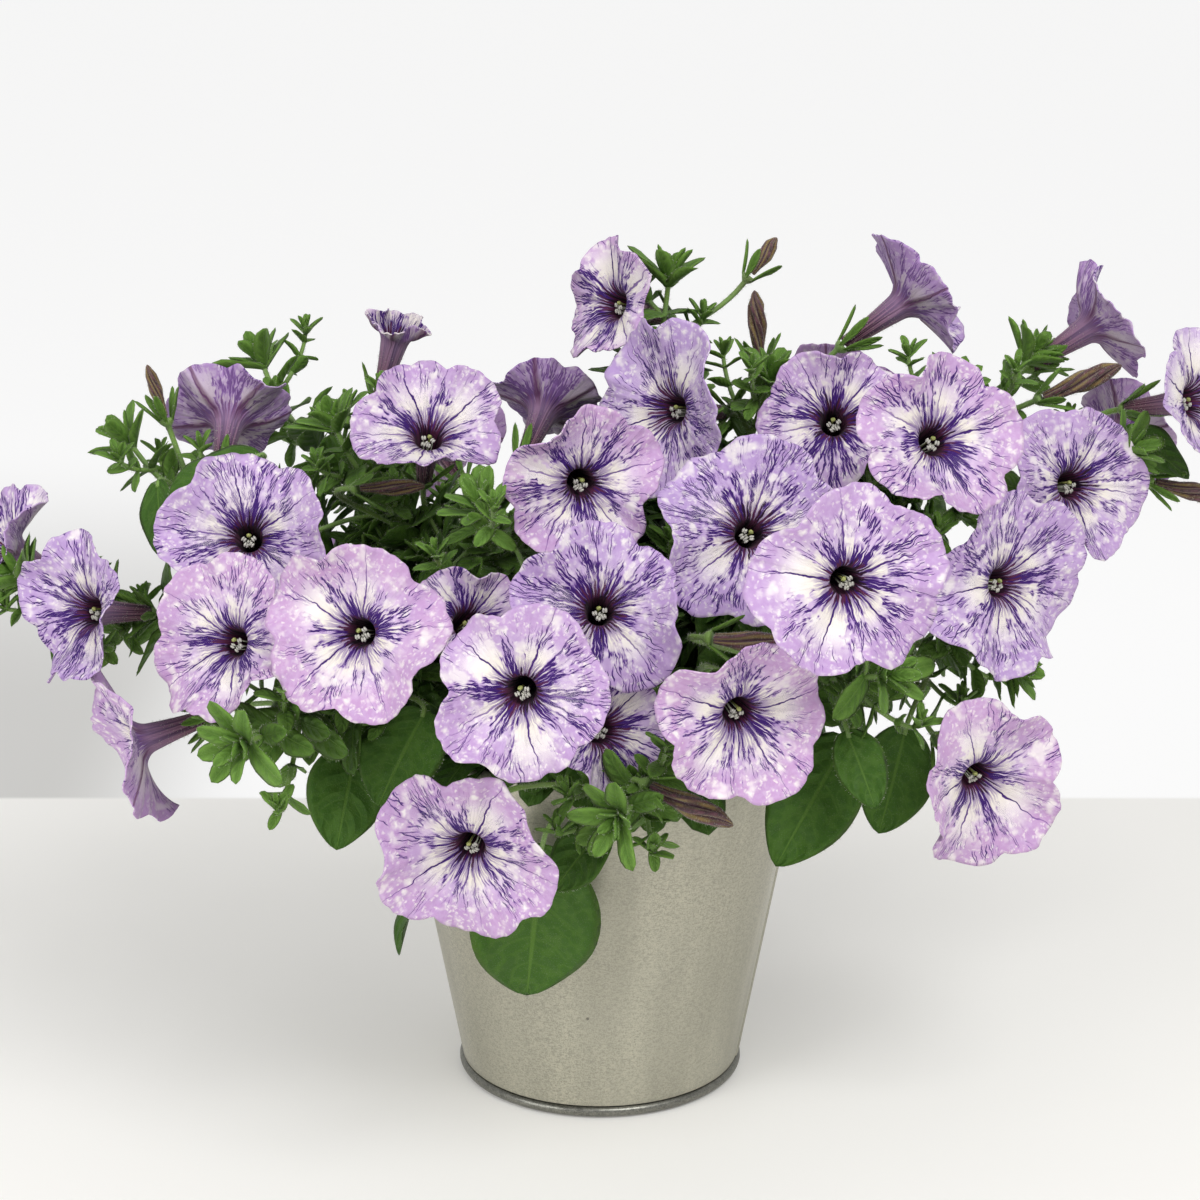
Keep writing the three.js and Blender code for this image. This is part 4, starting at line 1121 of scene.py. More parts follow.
class MakeBlooms(bpy.types.Operator):
    """Builds the open blooms: a thin waved limb on its tube, with stamens in the throat."""
    bl_idname = "petunia.make_blooms"
    bl_label = "Blooms"

    def execute(self, context):
        settings = context.scene.petunia_bloom
        columns = settings.columns
        for index, bloom in enumerate(BLOOMS):
            name, x, y, z, turn, tilt = bloom[:6]
            right, up, out = bloom_frame(turn, tilt)
            at = vec(x, y, z)
            angle = np.arange(columns + 1) % columns * FULL / columns
            rows = bloom_rows(bloom, index, angle, settings.ruffle / MM)
            sheet = self.sheet(name, columns, rows, angle, (at, right, up, out), index)
            self.thicken(sheet, settings.sheet)
            heap = Heap()
            add_heart(heap, at, right, up, out, index, np.random.default_rng(400 + index))
            heart = heap.make("heart", [pollen_white(), stigma_green(), hair_pale()])
            join_onto(sheet, heart)
            keep(sheet, "petal", "bloom_" + name)
        return {"FINISHED"}

    @staticmethod
    def sheet(name, columns, rows, angle, axes, index):
        """A grid whose columns go around the throat and whose rows go out to the edge."""
        at, right, up, out = axes
        bpy.ops.object.select_all(action="DESELECT")
        bpy.ops.mesh.primitive_grid_add(
            x_subdivisions=columns, y_subdivisions=len(rows) - 1, size=2
        )
        sheet = bpy.context.active_object
        sheet.name = "petals_" + name
        mesh = sheet.data
        flat = np.empty(len(mesh.vertices) * 3)
        mesh.vertices.foreach_get("co", flat)
        flat = flat.reshape(-1, 3)
        column = np.rint((flat[:, 0] + 1) / 2 * columns).astype(int)
        row = np.rint((flat[:, 1] + 1) / 2 * (len(rows) - 1)).astype(int)
        radius, height, place = (
            np.array([part[k] for part in rows])[row, column] for k in range(3)
        )
        theta = angle[column]
        turned = theta + index * 1.7
        points = at + (
            (radius * np.cos(turned))[:, None] * right
            + (radius * np.sin(turned))[:, None] * up
            + height[:, None] * out
        )
        mesh.vertices.foreach_set("co", (points * MM).ravel())
        polar = np.stack([np.cos(theta), np.sin(theta), place], 1)
        lobe = ((theta * 5 / FULL + 0.5) % 1 - 0.5) * FULL / 5
        seed, ink = np.full(len(points), index * 3.7), np.full(len(points), INK[index])
        mark = np.stack([place * np.abs(np.sin(lobe)), seed, ink], 1)
        for title, values in (("polar", polar), ("mark", mark)):
            attribute = mesh.attributes.new(title, "FLOAT_VECTOR", "POINT")
            attribute.data.foreach_set("vector", values.ravel())
        mesh.update()
        return sheet

    @staticmethod
    def thicken(sheet, thickness):
        pick(sheet)
        bpy.ops.object.mode_set(mode="EDIT")
        bpy.ops.mesh.select_all(action="SELECT")
        bpy.ops.mesh.remove_doubles(threshold=0.002 * MM)
        bpy.ops.object.mode_set(mode="OBJECT")
        sheet.data.materials.append(petal_back())
        sheet.data.materials.append(petal_face())
        bpy.ops.object.modifier_add(type="SOLIDIFY")
        shell = sheet.modifiers[-1]
        shell.thickness, shell.offset = thickness, 0
        shell.material_offset = shell.material_offset_rim = 1
        bpy.ops.object.modifier_apply(modifier=shell.name)
        bpy.ops.object.shade_smooth()


# ---- buds ---------------------------------------------------------------------
class MakeBuds(bpy.types.Operator):
    """Builds the furled buds and faded blooms, pleated in five and wound to a point."""
    bl_idname = "petunia.make_buds"
    bl_label = "Buds"

    def execute(self, context):
        for index, bud in enumerate(BUDS):
            name, _, _, _, width, _, faded = bud
            key = np.array(bud_line(bud))
            rows, sides = 30, 60
            t = np.linspace(0, 1, rows)
            stops = [0, 0.2, 0.5, 0.8, 1]
            line = np.stack([np.interp(t, stops, key[:, k]) for k in range(3)], 1)
            line[1:-1] = (line[:-2] + line[1:-1] * 2 + line[2:]) / 4
            body = np.interp(t, stops, np.array((0.45, 0.62, 1, 0.82, 0.2)) * width / 2)
            body[-1] *= 0.3
            a = np.arange(sides) * FULL / sides
            wound = 5 * (a[None] + (2.4 if faded else 1.6) * t[:, None] ** 1.5 + index)
            pleat = np.cos(wound) - 0.25 * np.cos(2 * wound)
            depth = np.interp(t, [0, 0.25, 0.8, 1], [0.04, 0.22, 0.3, 0.16])[:, None]
            depth = depth * (1 + 0.25 * faded)
            radius = body[:, None] * (1 + depth * (pleat - 0.6))
            _, across, other = np.array(ring_frames(line)).transpose(1, 0, 2)[:, :, None]
            points = line[:, None] + radius[..., None] * (
                across * np.cos(a)[None, :, None] + other * np.sin(a)[None, :, None]
            )
            ends = [np.tile(line[i], (1, sides, 1)) for i in (0, -1)]
            points = np.concatenate([ends[0], points, ends[1]])
            along = np.concatenate([[0], t, [1]])[:, None] * np.ones(sides)
            pleats = np.vstack([pleat[:1], pleat, pleat[-1:]])
            marks = np.stack([along, pleats, np.full_like(along, faded)], -1)
            heap = Heap()
            heap.add(points.reshape(-1, 3), grid_faces(rows + 2, sides, True), 0,
                     marks.reshape(-1, 3))
            hairs_on_bar(heap, line[::4], body[::4], 1.0, 0.9, 0.1, 1,
                         np.random.default_rng(500 + index))
            piece = heap.make("furled_" + name, [bud_skin(), hair_pale()])
            keep(piece, "bud", "bud_" + name)
        return {"FINISHED"}


# ---- leaves and stems -----------------------------------------------------------
# Shape of a leaf: where it is widest, how full it is, and the stations of its solid
# (part of the length, half the width).
NARROW = (1.65, 0.4, ((0.58, 0.5),))
PLAIN = (1.28, 0.47, ((0.36, 0.44), (0.74, 0.42)))
LARGE = (0.98, 0.66, ((0.16, 0.3), (0.42, 0.5), (0.76, 0.36)))
SEPAL = (1.5, 0.6, ())
# The large leaves are drawn a little longer and wider than their solids.
LARGE_LONGER, LARGE_WIDER = 1.14, 1.06
# Materials of a leafy stem, in the order of its slots.
STEM, LEAF, HAIR = 0, 1, 2
# Low stems in front, whose side shoots stand closer together.
BUSHY = ("right_low", "low_front", "low_left")
SHOOTS_APART, BUSHY_APART = 0.47, 0.33
# Turn from one leaf of a tuft, or from one side shoot, to the next, in degrees.
LEAF_TURN = 137.5
# Leaves that hang over the pot's rim.
RIM_LEAVES = 52


def blade_axes(way, face):
    across = unit(np.cross(way, face))
    return across, unit(np.cross(across, way))


def blade_corners(leaf):
    """Tip and side corners of a leaf's solid."""
    root, way, face, length, width, kind, droop = leaf
    across, up = blade_axes(way, face)
    corners = [root + way * length - up * droop * length]
    for part, half in kind[2]:
        middle = root + way * length * part - up * droop * length * part * part
        for side in (-1, 1):
            corners.append(middle + across * side * width * half + up * width * 0.1)
    return corners


def blade_rough(leaf):
    """A few triangles that cover a leaf, for testing what it would cross."""
    corners = blade_corners(leaf)
    points = [leaf[0] + leaf[1] * 1.5, *corners]
    faces = [(0, 2, 3)]
    for i in range(2, len(points) - 3, 2):
        faces += [(i, i + 1, i + 2), (i + 1, i + 3, i + 2)]
    faces.append((len(points) - 2, len(points) - 1, 1))
    return [tuple(p) for p in points], faces


def add_blade(heap, leaf, age, seed, rng, rows=8, columns=4, thick=0.7, hairs=True):
    """A leaf: folded along its rib, waved at the margin, thin, with hairs at its edge."""
    root, way, face, length, width, kind, droop = leaf
    across, up = blade_axes(way, face)
    u = np.linspace(0, 1, rows + 1)[:, None]
    u = 0.4 * u + 0.3 * (1 - np.cos(math.pi * u))
    v = np.linspace(-1, 1, columns + 1)[None]
    half = 0.5 * np.sin(math.pi * np.clip(u, 1e-6, 1 - 1e-6) ** kind[0]) ** kind[1]
    half = half + 0.1 * (1 - u) * (u > 0) * (u < 1)
    rise = width * 0.22 * half * np.abs(v) ** 1.4 - droop * length * u * u
    wave = np.sin(9 * u + seed) * np.abs(v) ** 2 * width * 0.06
    wave = wave + np.sin(5 * u + 2 * seed) * v * width * 0.07
    middle = (
        root - way + way * (length + 1) * u[..., None]
        + across * (half * v * width)[..., None]
        + up * (rise + wave * np.sin(math.pi * u))[..., None]
    )
    body = thick / 2 * (1 - v**4) * np.sin(math.pi * np.clip(u, 0, 1)) ** 0.4
    rib = np.exp(-((v / 0.2) ** 2)) * thick * 0.4
    top = middle + up * (body - rib * 0.5 * (u < 1) * (u > 0))[..., None]
    low = middle - up * (body + rib * (u < 1) * (u > 0))[..., None]
    count = (rows + 1) * (columns + 1)
    marks = np.stack([u + 0 * v, v + 0 * u, np.full_like(u + v, age)], -1).reshape(-1, 3)
    faces = grid_faces(rows + 1, columns + 1)
    heap.add(
        np.vstack([top.reshape(-1, 3), low.reshape(-1, 3)]),
        np.vstack([faces, faces[:, ::-1] + count]), LEAF, np.vstack([marks, marks]),
    )
    if not hairs:
        return
    number = int(length / 0.7)
    for side, edge in ((-1, middle[:, 0]), (1, middle[:, -1])):
        s = rng.random(number) * (rows - 0.2) + 0.1
        i = s.astype(int)
        t = (s - i)[:, None]
        roots = edge[i] * (1 - t) + edge[i + 1] * t
        ways = across * side + way * rng.uniform(-0.2, 0.6, (number, 1))
        ways = ways + rng.normal(0, 0.35, (number, 3))
        ways /= np.linalg.norm(ways, axis=1)[:, None]
        add_hairs(heap, roots, ways, rng.uniform(0.4, 1.0, number), 0.1, HAIR)


def leaf_choices(root, grow, angle, lean, length, share, kind, droop):
    """Places and sizes that a leaf may take; share is its width over its length."""
    across = unit(np.cross(vec(0.23, 0.31, 0.9), grow))
    other = np.cross(grow, across)
    choices = []
    for size in (1, 0.8, 0.62):
        for turn in (0, 22, -22, 44, -44):
            for tip in (0, 18, -18):
                a, t = math.radians(angle + turn), math.radians(lean + tip)
                out = across * math.cos(a) + other * math.sin(a)
                way = grow * math.cos(t) + out * math.sin(t)
                face = grow * math.sin(t) - out * math.cos(t)
                choices.append(
                    (root, way, face, length * size, length * share * size, kind, droop))
    return choices


def solid_leaves(index, line):
    """The choices for each leaf that a stem's solid may have: tuft at the tip, then nodes."""
    seed = 40 + index * 17
    tip, grow = line[-1], unit(line[-1] - line[-2])
    for k in range(3):
        length = 14 if k < 1 else 18 + swing(seed, k, 2)
        root = tip - grow * (1 if k < 1 else 3)
        yield 1.0, leaf_choices(
            root, grow, 120 * k, 14 if k < 1 else 54, length, 0.36, NARROW, 0.1)
    for k, spot in enumerate((3.4, 5.0, 6.6)):
        root, way = spot_on(line, spot)
        age = 1 - spot / 8
        length = 18 + 28 * age + swing(seed, 20 + k, 3)
        for side in (0,) if k == 0 else (0, 180):
            yield 0.8 - age, leaf_choices(
                root, way, 90 * k + side + swing(seed, 40 + k, 15), 62, length,
                0.38 + 0.24 * age, PLAIN, 0.2)


def large_leaf_choices(row):
    _, base, tip, width, face = row
    root, face = vec(*base), unit(vec(*face))
    way = vec(*tip) - root
    length = np.linalg.norm(way)
    way = way / length
    across = unit(np.cross(way, face))
    return [
        (root, unit(way + face * lift + across * side), face, length * size, width * size,
         LARGE, 0.1)
        for size in (1, 0.85, 0.7)
        for lift in (0, 0.2, -0.2, 0.4, -0.4)
        for side in (0, 0.2, -0.2, 0.4, -0.4)
    ]


class Room:
    """The space that blooms, buds and the pot leave free."""

    def __init__(self):
        points, faces = [], []
        for name, node in nodes.items():
            if name.startswith("stem_") or name == "potting_soil":
                continue
            start = len(points)
            points += [tuple(c / MM for c in v.co) for v in node.data.vertices]
            faces += [tuple(start + i for i in p.vertices) for p in node.data.polygons]
        self.taken = BVHTree.FromPolygons(points, faces)
        self.leaves, self.boxes = [], np.empty((2, 6000, 3))

    def free(self, leaf, crowd):
        """True if the leaf crosses no solid and at most a few leaves."""
        points, faces = blade_rough(leaf)
        low, high = np.min(points, 0), np.max(points, 0)
        tree = BVHTree.FromPolygons(points, faces)
        if low[2] < 4 or tree.overlap(self.taken):
            return False
        lows, highs = self.boxes[:, : len(self.leaves)]
        close = np.flatnonzero(((low < highs) & (high > lows)).all(1))
        return sum(bool(tree.overlap(self.leaves[i])) for i in close) <= crowd

    def take(self, leaf):
        points, faces = blade_rough(leaf)
        self.boxes[:, len(self.leaves)] = np.min(points, 0), np.max(points, 0)
        self.leaves.append(BVHTree.FromPolygons(points, faces))

    def clear(self, start, end):
        """True if no solid lies between two points."""
        reach = np.linalg.norm(end - start)
        way = (end - start) / reach
        return self.taken.ray_cast(start + way * 2, way, reach)[0] is None


class Plant:
    """Lays out the stems, stalks and leaves once, for all operators."""

    def __init__(self):
        self.room = Room()
        self.stems = []
        for index, stem in enumerate(STEMS):
            trace = Trace("stem_" + stem[0])

            def corners(bend, stem=stem):
                line = stem_line(stem, bend)
                return np.vstack(bar_rings(line, stem_radii(len(line)), 5)[3:])

            bend = trace.best(STEM_BENDS, corners)
            line = stem_line(stem, bend)
            grown = {"name": stem[0], "line": line, "fine": stem_line(stem, bend, 42),
                     "trace": trace, "stalks": [], "leaves": [], "petioles": [], "shoots": []}
            self.stems.append(grown)
        for bloom in BLOOMS:
            _, _, out = bloom_frame(bloom[4], bloom[5])
            self.add_stalk(bloom[9], vec(*bloom[1:4]) - out * TUBE_LENGTH, out, 13, 5)
        for bud in BUDS:
            line = bud_line(bud)
            self.add_stalk(bud[5], line[0], unit(line[1] - line[0]), 10, 4)
        for row in LARGE_LEAVES:
            self.add_large_leaf(row)
        for index, grown in enumerate(self.stems):
            for age, choices in solid_leaves(index, grown["line"]):
                leaf = max(choices, key=lambda c: grown["trace"].share(blade_corners(c)))
                if grown["trace"].share(blade_corners(leaf)) > 0.6:
                    grown["leaves"].append((leaf, age))
                    self.room.take(leaf)
        self.dress_rim()
        for index, grown in enumerate(self.stems):
            self.fill_out(index, grown)

    def dress_rim(self):
        """Leaves on long stalks that hang over the pot's rim all round."""
        for k in range(RIM_LEAVES):
            a = k * FULL / RIM_LEAVES + swing(k, 801, 0.04)
            out = vec(math.cos(a), math.sin(a), 0)
            grown = min(self.stems, key=lambda s: np.linalg.norm(s["line"][1] - out * 45))
            rise = 143 + 12 * draw(k, 802)
            root = out * (60 + 8 * draw(k, 803)) + vec(0, 0, rise)
            length = 30 + swing(k, 804, 7)
            for drop in (-0.9, -0.5, -0.15, 0.2):
                way = unit(out + vec(swing(k, 805, 0.4), swing(k, 806, 0.4), drop))
                face = unit(vec(0, 0, 1) + out * 0.8)
                leaf = (root, way, face, length, length * 0.56, PLAIN, 0.12)
                if self.room.free(leaf, 3):
                    start, _ = spot_on(grown["line"], 2.0 + draw(k, 807))
                    grown["petioles"].append(curve(
                        start, start + vec(0, 0, 10), root - way * 12, root + way, 9))
                    grown["leaves"].append((leaf, 0.12))
                    self.room.take(leaf)
                    break

    def owner(self, name):
        return next(s for s in self.stems if s["name"] == name)

    def add_stalk(self, name, back, way, length, spread):
        grown = self.owner(name)
        end = back - way * (GAP + CUP_LENGTH)

        def rings(choice, count=3):
            line = stalk_line(grown["line"], choice[0], end, way, choice[1], count)
            return bar_rings(line, (0.5, 1, 1, 1), 5)

        spot, push = grown["trace"].best(STALK_CHOICES, lambda c: np.vstack(rings(c)[1:3]))
        middle = [unit(p - end - way * (p - end).dot(way)) for p in rings((spot, push))[3]]
        cup = end + way * CUP_LENGTH

        def tips(part):
            return [cup + way * length * part + out * (3 + spread * part) for out in middle]

        part = grown["trace"].best((1, 0.75, 0.5), tips)
        line = stalk_line(grown["line"], spot, end, way, push, 14)
        grown["stalks"].append((line, cup, way, middle, tips(part), spot))

    def add_large_leaf(self, row):
        grown = self.owner(row[0])
        leaf = grown["trace"].best(large_leaf_choices(row), blade_corners)
        root, way = leaf[0], leaf[1]
        end = root + way * 2

        def ring(choice):
            line = stalk_line(grown["line"], choice[0], end, way, choice[1], 2)
            return bar_rings(line, (0.5, 1.1, 1.1), 5)[1]

        spot, push = grown["trace"].best(STALK_CHOICES, ring)
        grown["petioles"].append(stalk_line(grown["line"], spot, end, way, push, 10))
        grown["leaves"].append((leaf, 0.0))
        self.room.take(leaf)

    def try_leaf(self, grown, age, crowd, *shape):
        """Adds a leaf at the first of its places that is free, if there is one."""
        for leaf in leaf_choices(*shape)[::2]:
            if self.room.free(leaf, crowd):
                grown["leaves"].append((leaf, age))
                self.room.take(leaf)
                return

    def rosette(self, grown, tip, way, seed, count, size):
        """A tuft of small narrow leaves, upright in the middle and leaning out around it."""
        for k in range(count):
            share = k / count
            length = size * (0.55 + 0.55 * share) * (1 + swing(seed, 300 + k, 0.15))
            root = tip - way * (0.4 + 3.2 * share)
            self.try_leaf(grown, 1.0, 2, root, way, LEAF_TURN * k + 40 * seed,
                          12 + 50 * share, length, 0.37, NARROW, 0.12 + 0.1 * share)

    def shoot(self, grown, root, way, length, age, seed):
        """A side shoot that bends upwards, with leaves in pairs and a tuft on top."""
        for lift in (0.5, 0.0, 1.0, -0.5):
            tip = root + unit(way + vec(0, 0, lift)) * length
            if self.room.clear(root, tip):
                break
        else:
            return
        fine = curve(root, root + way * length * 0.4, tip - vec(0, 0, length * 0.3), tip, 8)
        grown["shoots"].append(fine)
        for k, spot in enumerate((2.6, 4.4, 6.2)):
            at, grow = spot_on(fine, spot)
            for side in (0, 180):
                size = (10 + 12 * age) * (1.15 - 0.07 * spot) * (1 + swing(seed, k + side, 0.2))
                self.try_leaf(grown, 0.95 - age, 2, at, grow, 90 * k + side + 37 * seed, 58,
                              size, 0.46, PLAIN, 0.2)
        self.rosette(grown, tip, unit(fine[-1] - fine[-2]), seed, 6, 9 + 4 * age)

    def fill_out(self, index, grown):
        """What the solid leaves out: leaves at every node, tufts and side shoots."""
        line, seed = grown["line"], 900 + 31 * index
        tip, way = line[-1], unit(line[-1] - line[-2])
        self.rosette(grown, tip, way, seed, 9, 20)
        for k, spot in enumerate(np.arange(2.1, 7.8, 0.36)):
            root, grow = spot_on(line, spot)
            age = 1 - spot / 8
            for side in (0, 120, 240) if spot < 6 else (0, 180):
                length = (15 + 31 * age) * (1 + swing(seed, 2 * k + side, 0.22))
                self.try_leaf(grown, 0.75 - age, 2, root, grow,
                              75 * k + side + swing(seed, k + side, 25),
                              64 + swing(seed, 7 * k + side, 26), length,
                              0.44 + 0.24 * age, PLAIN, 0.22)
        apart = BUSHY_APART if grown["name"] in BUSHY else SHOOTS_APART
        for k, spot in enumerate(np.arange(2.3, 7.5, apart)):
            root, grow = spot_on(line, spot)
            across = unit(np.cross(grow, vec(0.3, 0.2, 0.9)))
            a = math.radians(LEAF_TURN * k + 61 * index)
            out = across * math.cos(a) + np.cross(grow, across) * math.sin(a)
            self.shoot(grown, root, unit(grow * 0.5 + out), 26 + swing(seed, 700 + k, 10),
                       1 - spot / 8, seed + k)
        for k, stalk in enumerate(grown["stalks"]):
            fine, spot = stalk[0], stalk[5]
            root, grow = spot_on(line, spot)
            for side in (60, 240):
                length = 13 + swing(seed, 500 + 2 * k + side, 3)
                self.try_leaf(grown, 0.85, 1, root, grow, side + 90 * k, 50, length, 0.46,
                              PLAIN, 0.15)
            out = unit(fine[3] - fine[0])
            if k % 2 == 0:
                self.rosette(grown, fine[2] + out * 3, out, seed + k, 5, 11)


plant = once(Plant)


def add_hairy_bar(heap, line, radii, sides, age, rng, bare=0):
    """A green bar of the plant, with hairs from its first point after the bare ones."""
    s = settings_of("foliage")
    add_bar(heap, line, radii, sides, STEM, (0, 0, age))
    hairs_on_bar(heap, line[bare:], radii[bare:], s.density, s.hair_length / MM,
                 s.hair_width / MM, HAIR, rng)


def add_calyx(heap, stalk, rng):
    """Flower stalk, its cup, and five narrow sepals that clasp the tube."""
    line, cup, way, middle, tips, _ = stalk
    radii = np.interp(np.arange(len(line)), [0, 2, len(line) - 1], [0.7, 0.85, 1.05])
    swell = [line[-1] + way * d for d in (0.5, 1.4, 2.4, 3.2)]
    add_hairy_bar(heap, [*line, *swell], [*radii, 1.5, 2.35, 2.8, 2.75], 8, 0.8, rng)
    for k, (out, tip) in enumerate(zip(middle, tips)):
        root = cup - way * 1.8 + out * 2.4
        reach = tip + out * 0.6 - root
        size = np.linalg.norm(reach)
        leaf = (root, reach / size, out, size, 3.0, SEPAL, -0.12)
        add_blade(heap, leaf, 0.9, k + 5.0 * cup[0], rng, 7, 4, 0.9)


class MakeStems(bpy.types.Operator):
    """Builds the leafy stems with their flower stalks, sepals, leaves and fine hairs."""
    bl_idname = "petunia.make_stems"
    bl_label = "Leafy stems"

    def execute(self, context):
        for index, grown in enumerate(plant().stems):
            rng = np.random.default_rng(100 + index)
            heap = Heap()
            line = grown["fine"]
            radii = 0.78 * np.interp(np.linspace(0, 1, len(line)), [0, 0.12, 1],
                                     [STEM_RADIUS, STEM_RADIUS, STEM_RADIUS - STEM_THINNING])
            add_hairy_bar(heap, line, radii, 10, 0.5, rng, 4)
            for kind, start, end, sides, age in (("petioles", 0.95, 0.95, 8, 0.5),
                                                 ("shoots", 1.0, 0.7, 7, 0.7)):
                for side_line in grown[kind]:
                    thin = np.linspace(start, end, len(side_line))
                    add_hairy_bar(heap, side_line, thin, sides, age, rng)
            for stalk in grown["stalks"]:
                add_calyx(heap, stalk, rng)
            for k, (leaf, age) in enumerate(grown["leaves"]):
                large = leaf[5] is LARGE
                if large:
                    leaf = (*leaf[:3], leaf[3] * LARGE_LONGER, leaf[4] * LARGE_WIDER, *leaf[5:])
                rows, columns = (20, 10) if large else (8, 4)
                add_blade(heap, leaf, age, 3.1 * k + index, rng, rows, columns,
                          0.7 if age < 0.9 else 1.0, large or age > 0.35)
            piece = heap.make("leafy_" + grown["name"],
                              [stem_green(), leaf_green(), hair_pale()])
            keep(piece, "foliage", "stem_" + grown["name"])
        return {"FINISHED"}


# ---- pot and soil ---------------------------------------------------------------
def turned(name, profile, sides):
    """A shell turned from a profile: a ring that is drawn up and widened step by step."""
    bpy.ops.object.select_all(action="DESELECT")
    radius, height = profile[0]
    bpy.ops.mesh.primitive_circle_add(
        vertices=sides, radius=radius * MM, location=(0, 0, height * MM)
    )
    piece = bpy.context.active_object
    piece.name = name
    bpy.ops.object.mode_set(mode="EDIT")
    bpy.ops.mesh.select_all(action="SELECT")
    for wider, higher in profile[1:]:
        bpy.ops.mesh.extrude_edges_move(
            TRANSFORM_OT_translate={"value": (0, 0, (higher - height) * MM)}
        )
        share = wider / radius
        bpy.ops.transform.resize(value=(share, share, 1), center_override=(0, 0, higher * MM))
        radius, height = wider, higher
    bpy.ops.object.mode_set(mode="OBJECT")
    bpy.ops.object.transform_apply(location=True, rotation=True, scale=True)
    return piece


def rounded(centre, radius, start, end, count):
    """Points of an arc in a profile, angles in degrees from straight out."""
    return [
        (centre[0] + radius * math.cos(math.radians(a)),
         centre[1] + radius * math.sin(math.radians(a)))
        for a in np.linspace(start, end, count)
    ]


# Edges sharper than this stay sharp when the pot's sheet is shaded smooth.
FOLD_ANGLE = math.radians(40)


def wall_radius(height):
    return BASE_RADIUS + WALL_SLOPE * height


class MakePot(bpy.types.Operator):
    """Builds the tapered sheet-metal wall with its rolled rim and lock seam, and the foot."""
    bl_idname = "petunia.make_pot"
    bl_label = "Pot"

    def execute(self, context):
        sides = context.scene.petunia_pot.sides
        self.wall(sides)
        self.foot(sides)
        return {"FINISHED"}

    @staticmethod
    def wall(sides):
        low, neck = BEAD_HEIGHT + GAP, POT_HEIGHT - 4.5
        outside = [(wall_radius(h), h) for h in np.linspace(low, neck, 24)]
        rim = wall_radius(POT_HEIGHT)
        roll = rounded((rim + 0.1, POT_HEIGHT - 2.2), 2.1, -70, 200, 16)
        inside = [(wall_radius(h) - WALL_THICK, h) for h in np.linspace(neck, low, 12)]
        wall = turned("pot_shell", [*outside, *roll, *inside, outside[0]], sides)
        close_up(wall, 0.01)
        # Lock seam: a folded strip, two sheets thick, that runs up the wall.
        heap = Heap()
        rows, across = np.linspace(low, neck - 0.5, 30), np.linspace(-1, 1, 13)
        section = [(s * 3.0, 0.75 * (1 - s**8) - 0.3 + 0.22 * (abs(s - 0.25) < 0.2))
                   for s in across]
        points = []
        for h in rows:
            for side, rise in section:
                a = math.radians(SEAM_TURN) + side / wall_radius(h)
                r = wall_radius(h) + rise
                points.append((r * math.cos(a), r * math.sin(a), h))
        count = len(points)
        inner = [(x * 0.993, y * 0.993, z) for x, y, z in points]
        faces = grid_faces(30, 13)
        rim_loop = [*range(13), *range(25, count, 13), *range(count - 2, count - 14, -1),
                    *range(count - 26, 0, -13)]
        rim_loop = list(dict.fromkeys(rim_loop))
        sides_of = [(a, b, b + count, a + count)
                    for a, b in zip(rim_loop, rim_loop[1:] + rim_loop[:1])]
        heap.add([*points, *inner],
                 np.vstack([faces, faces[:, ::-1] + count, np.array(sides_of)]), 0)
        seam = heap.make("seam", [wall_metal()])
        wall.data.materials.append(wall_metal())
        join_onto(wall, seam)
        bpy.ops.object.shade_smooth_by_angle(angle=FOLD_ANGLE)
        keep(wall, "galvanised_metal", "pot_wall")

    @staticmethod
    def foot(sides):
        r, h = BEAD_RADIUS, BEAD_HEIGHT
        bead = rounded((r - 2.05, h / 2), 2.05, -88, 150, 16)
        profile = [(0.02, 0.0), (r - 8, 0.0), (r - 3, 0.05), *bead, (r - 4.6, 2.4),
                   (r - 6, 2.2), (0.02, 2.2)]
        foot = turned("pot_foot", profile, sides)
        close_up(foot, 0.05)
        foot.data.materials.append(bead_metal())
        pick(foot)
        bpy.ops.object.shade_smooth_by_angle(angle=FOLD_ANGLE)
        keep(foot, "galvanised_bead", "pot_base")


# Loose crumbs that lie on the soil.
CRUMBS = 420


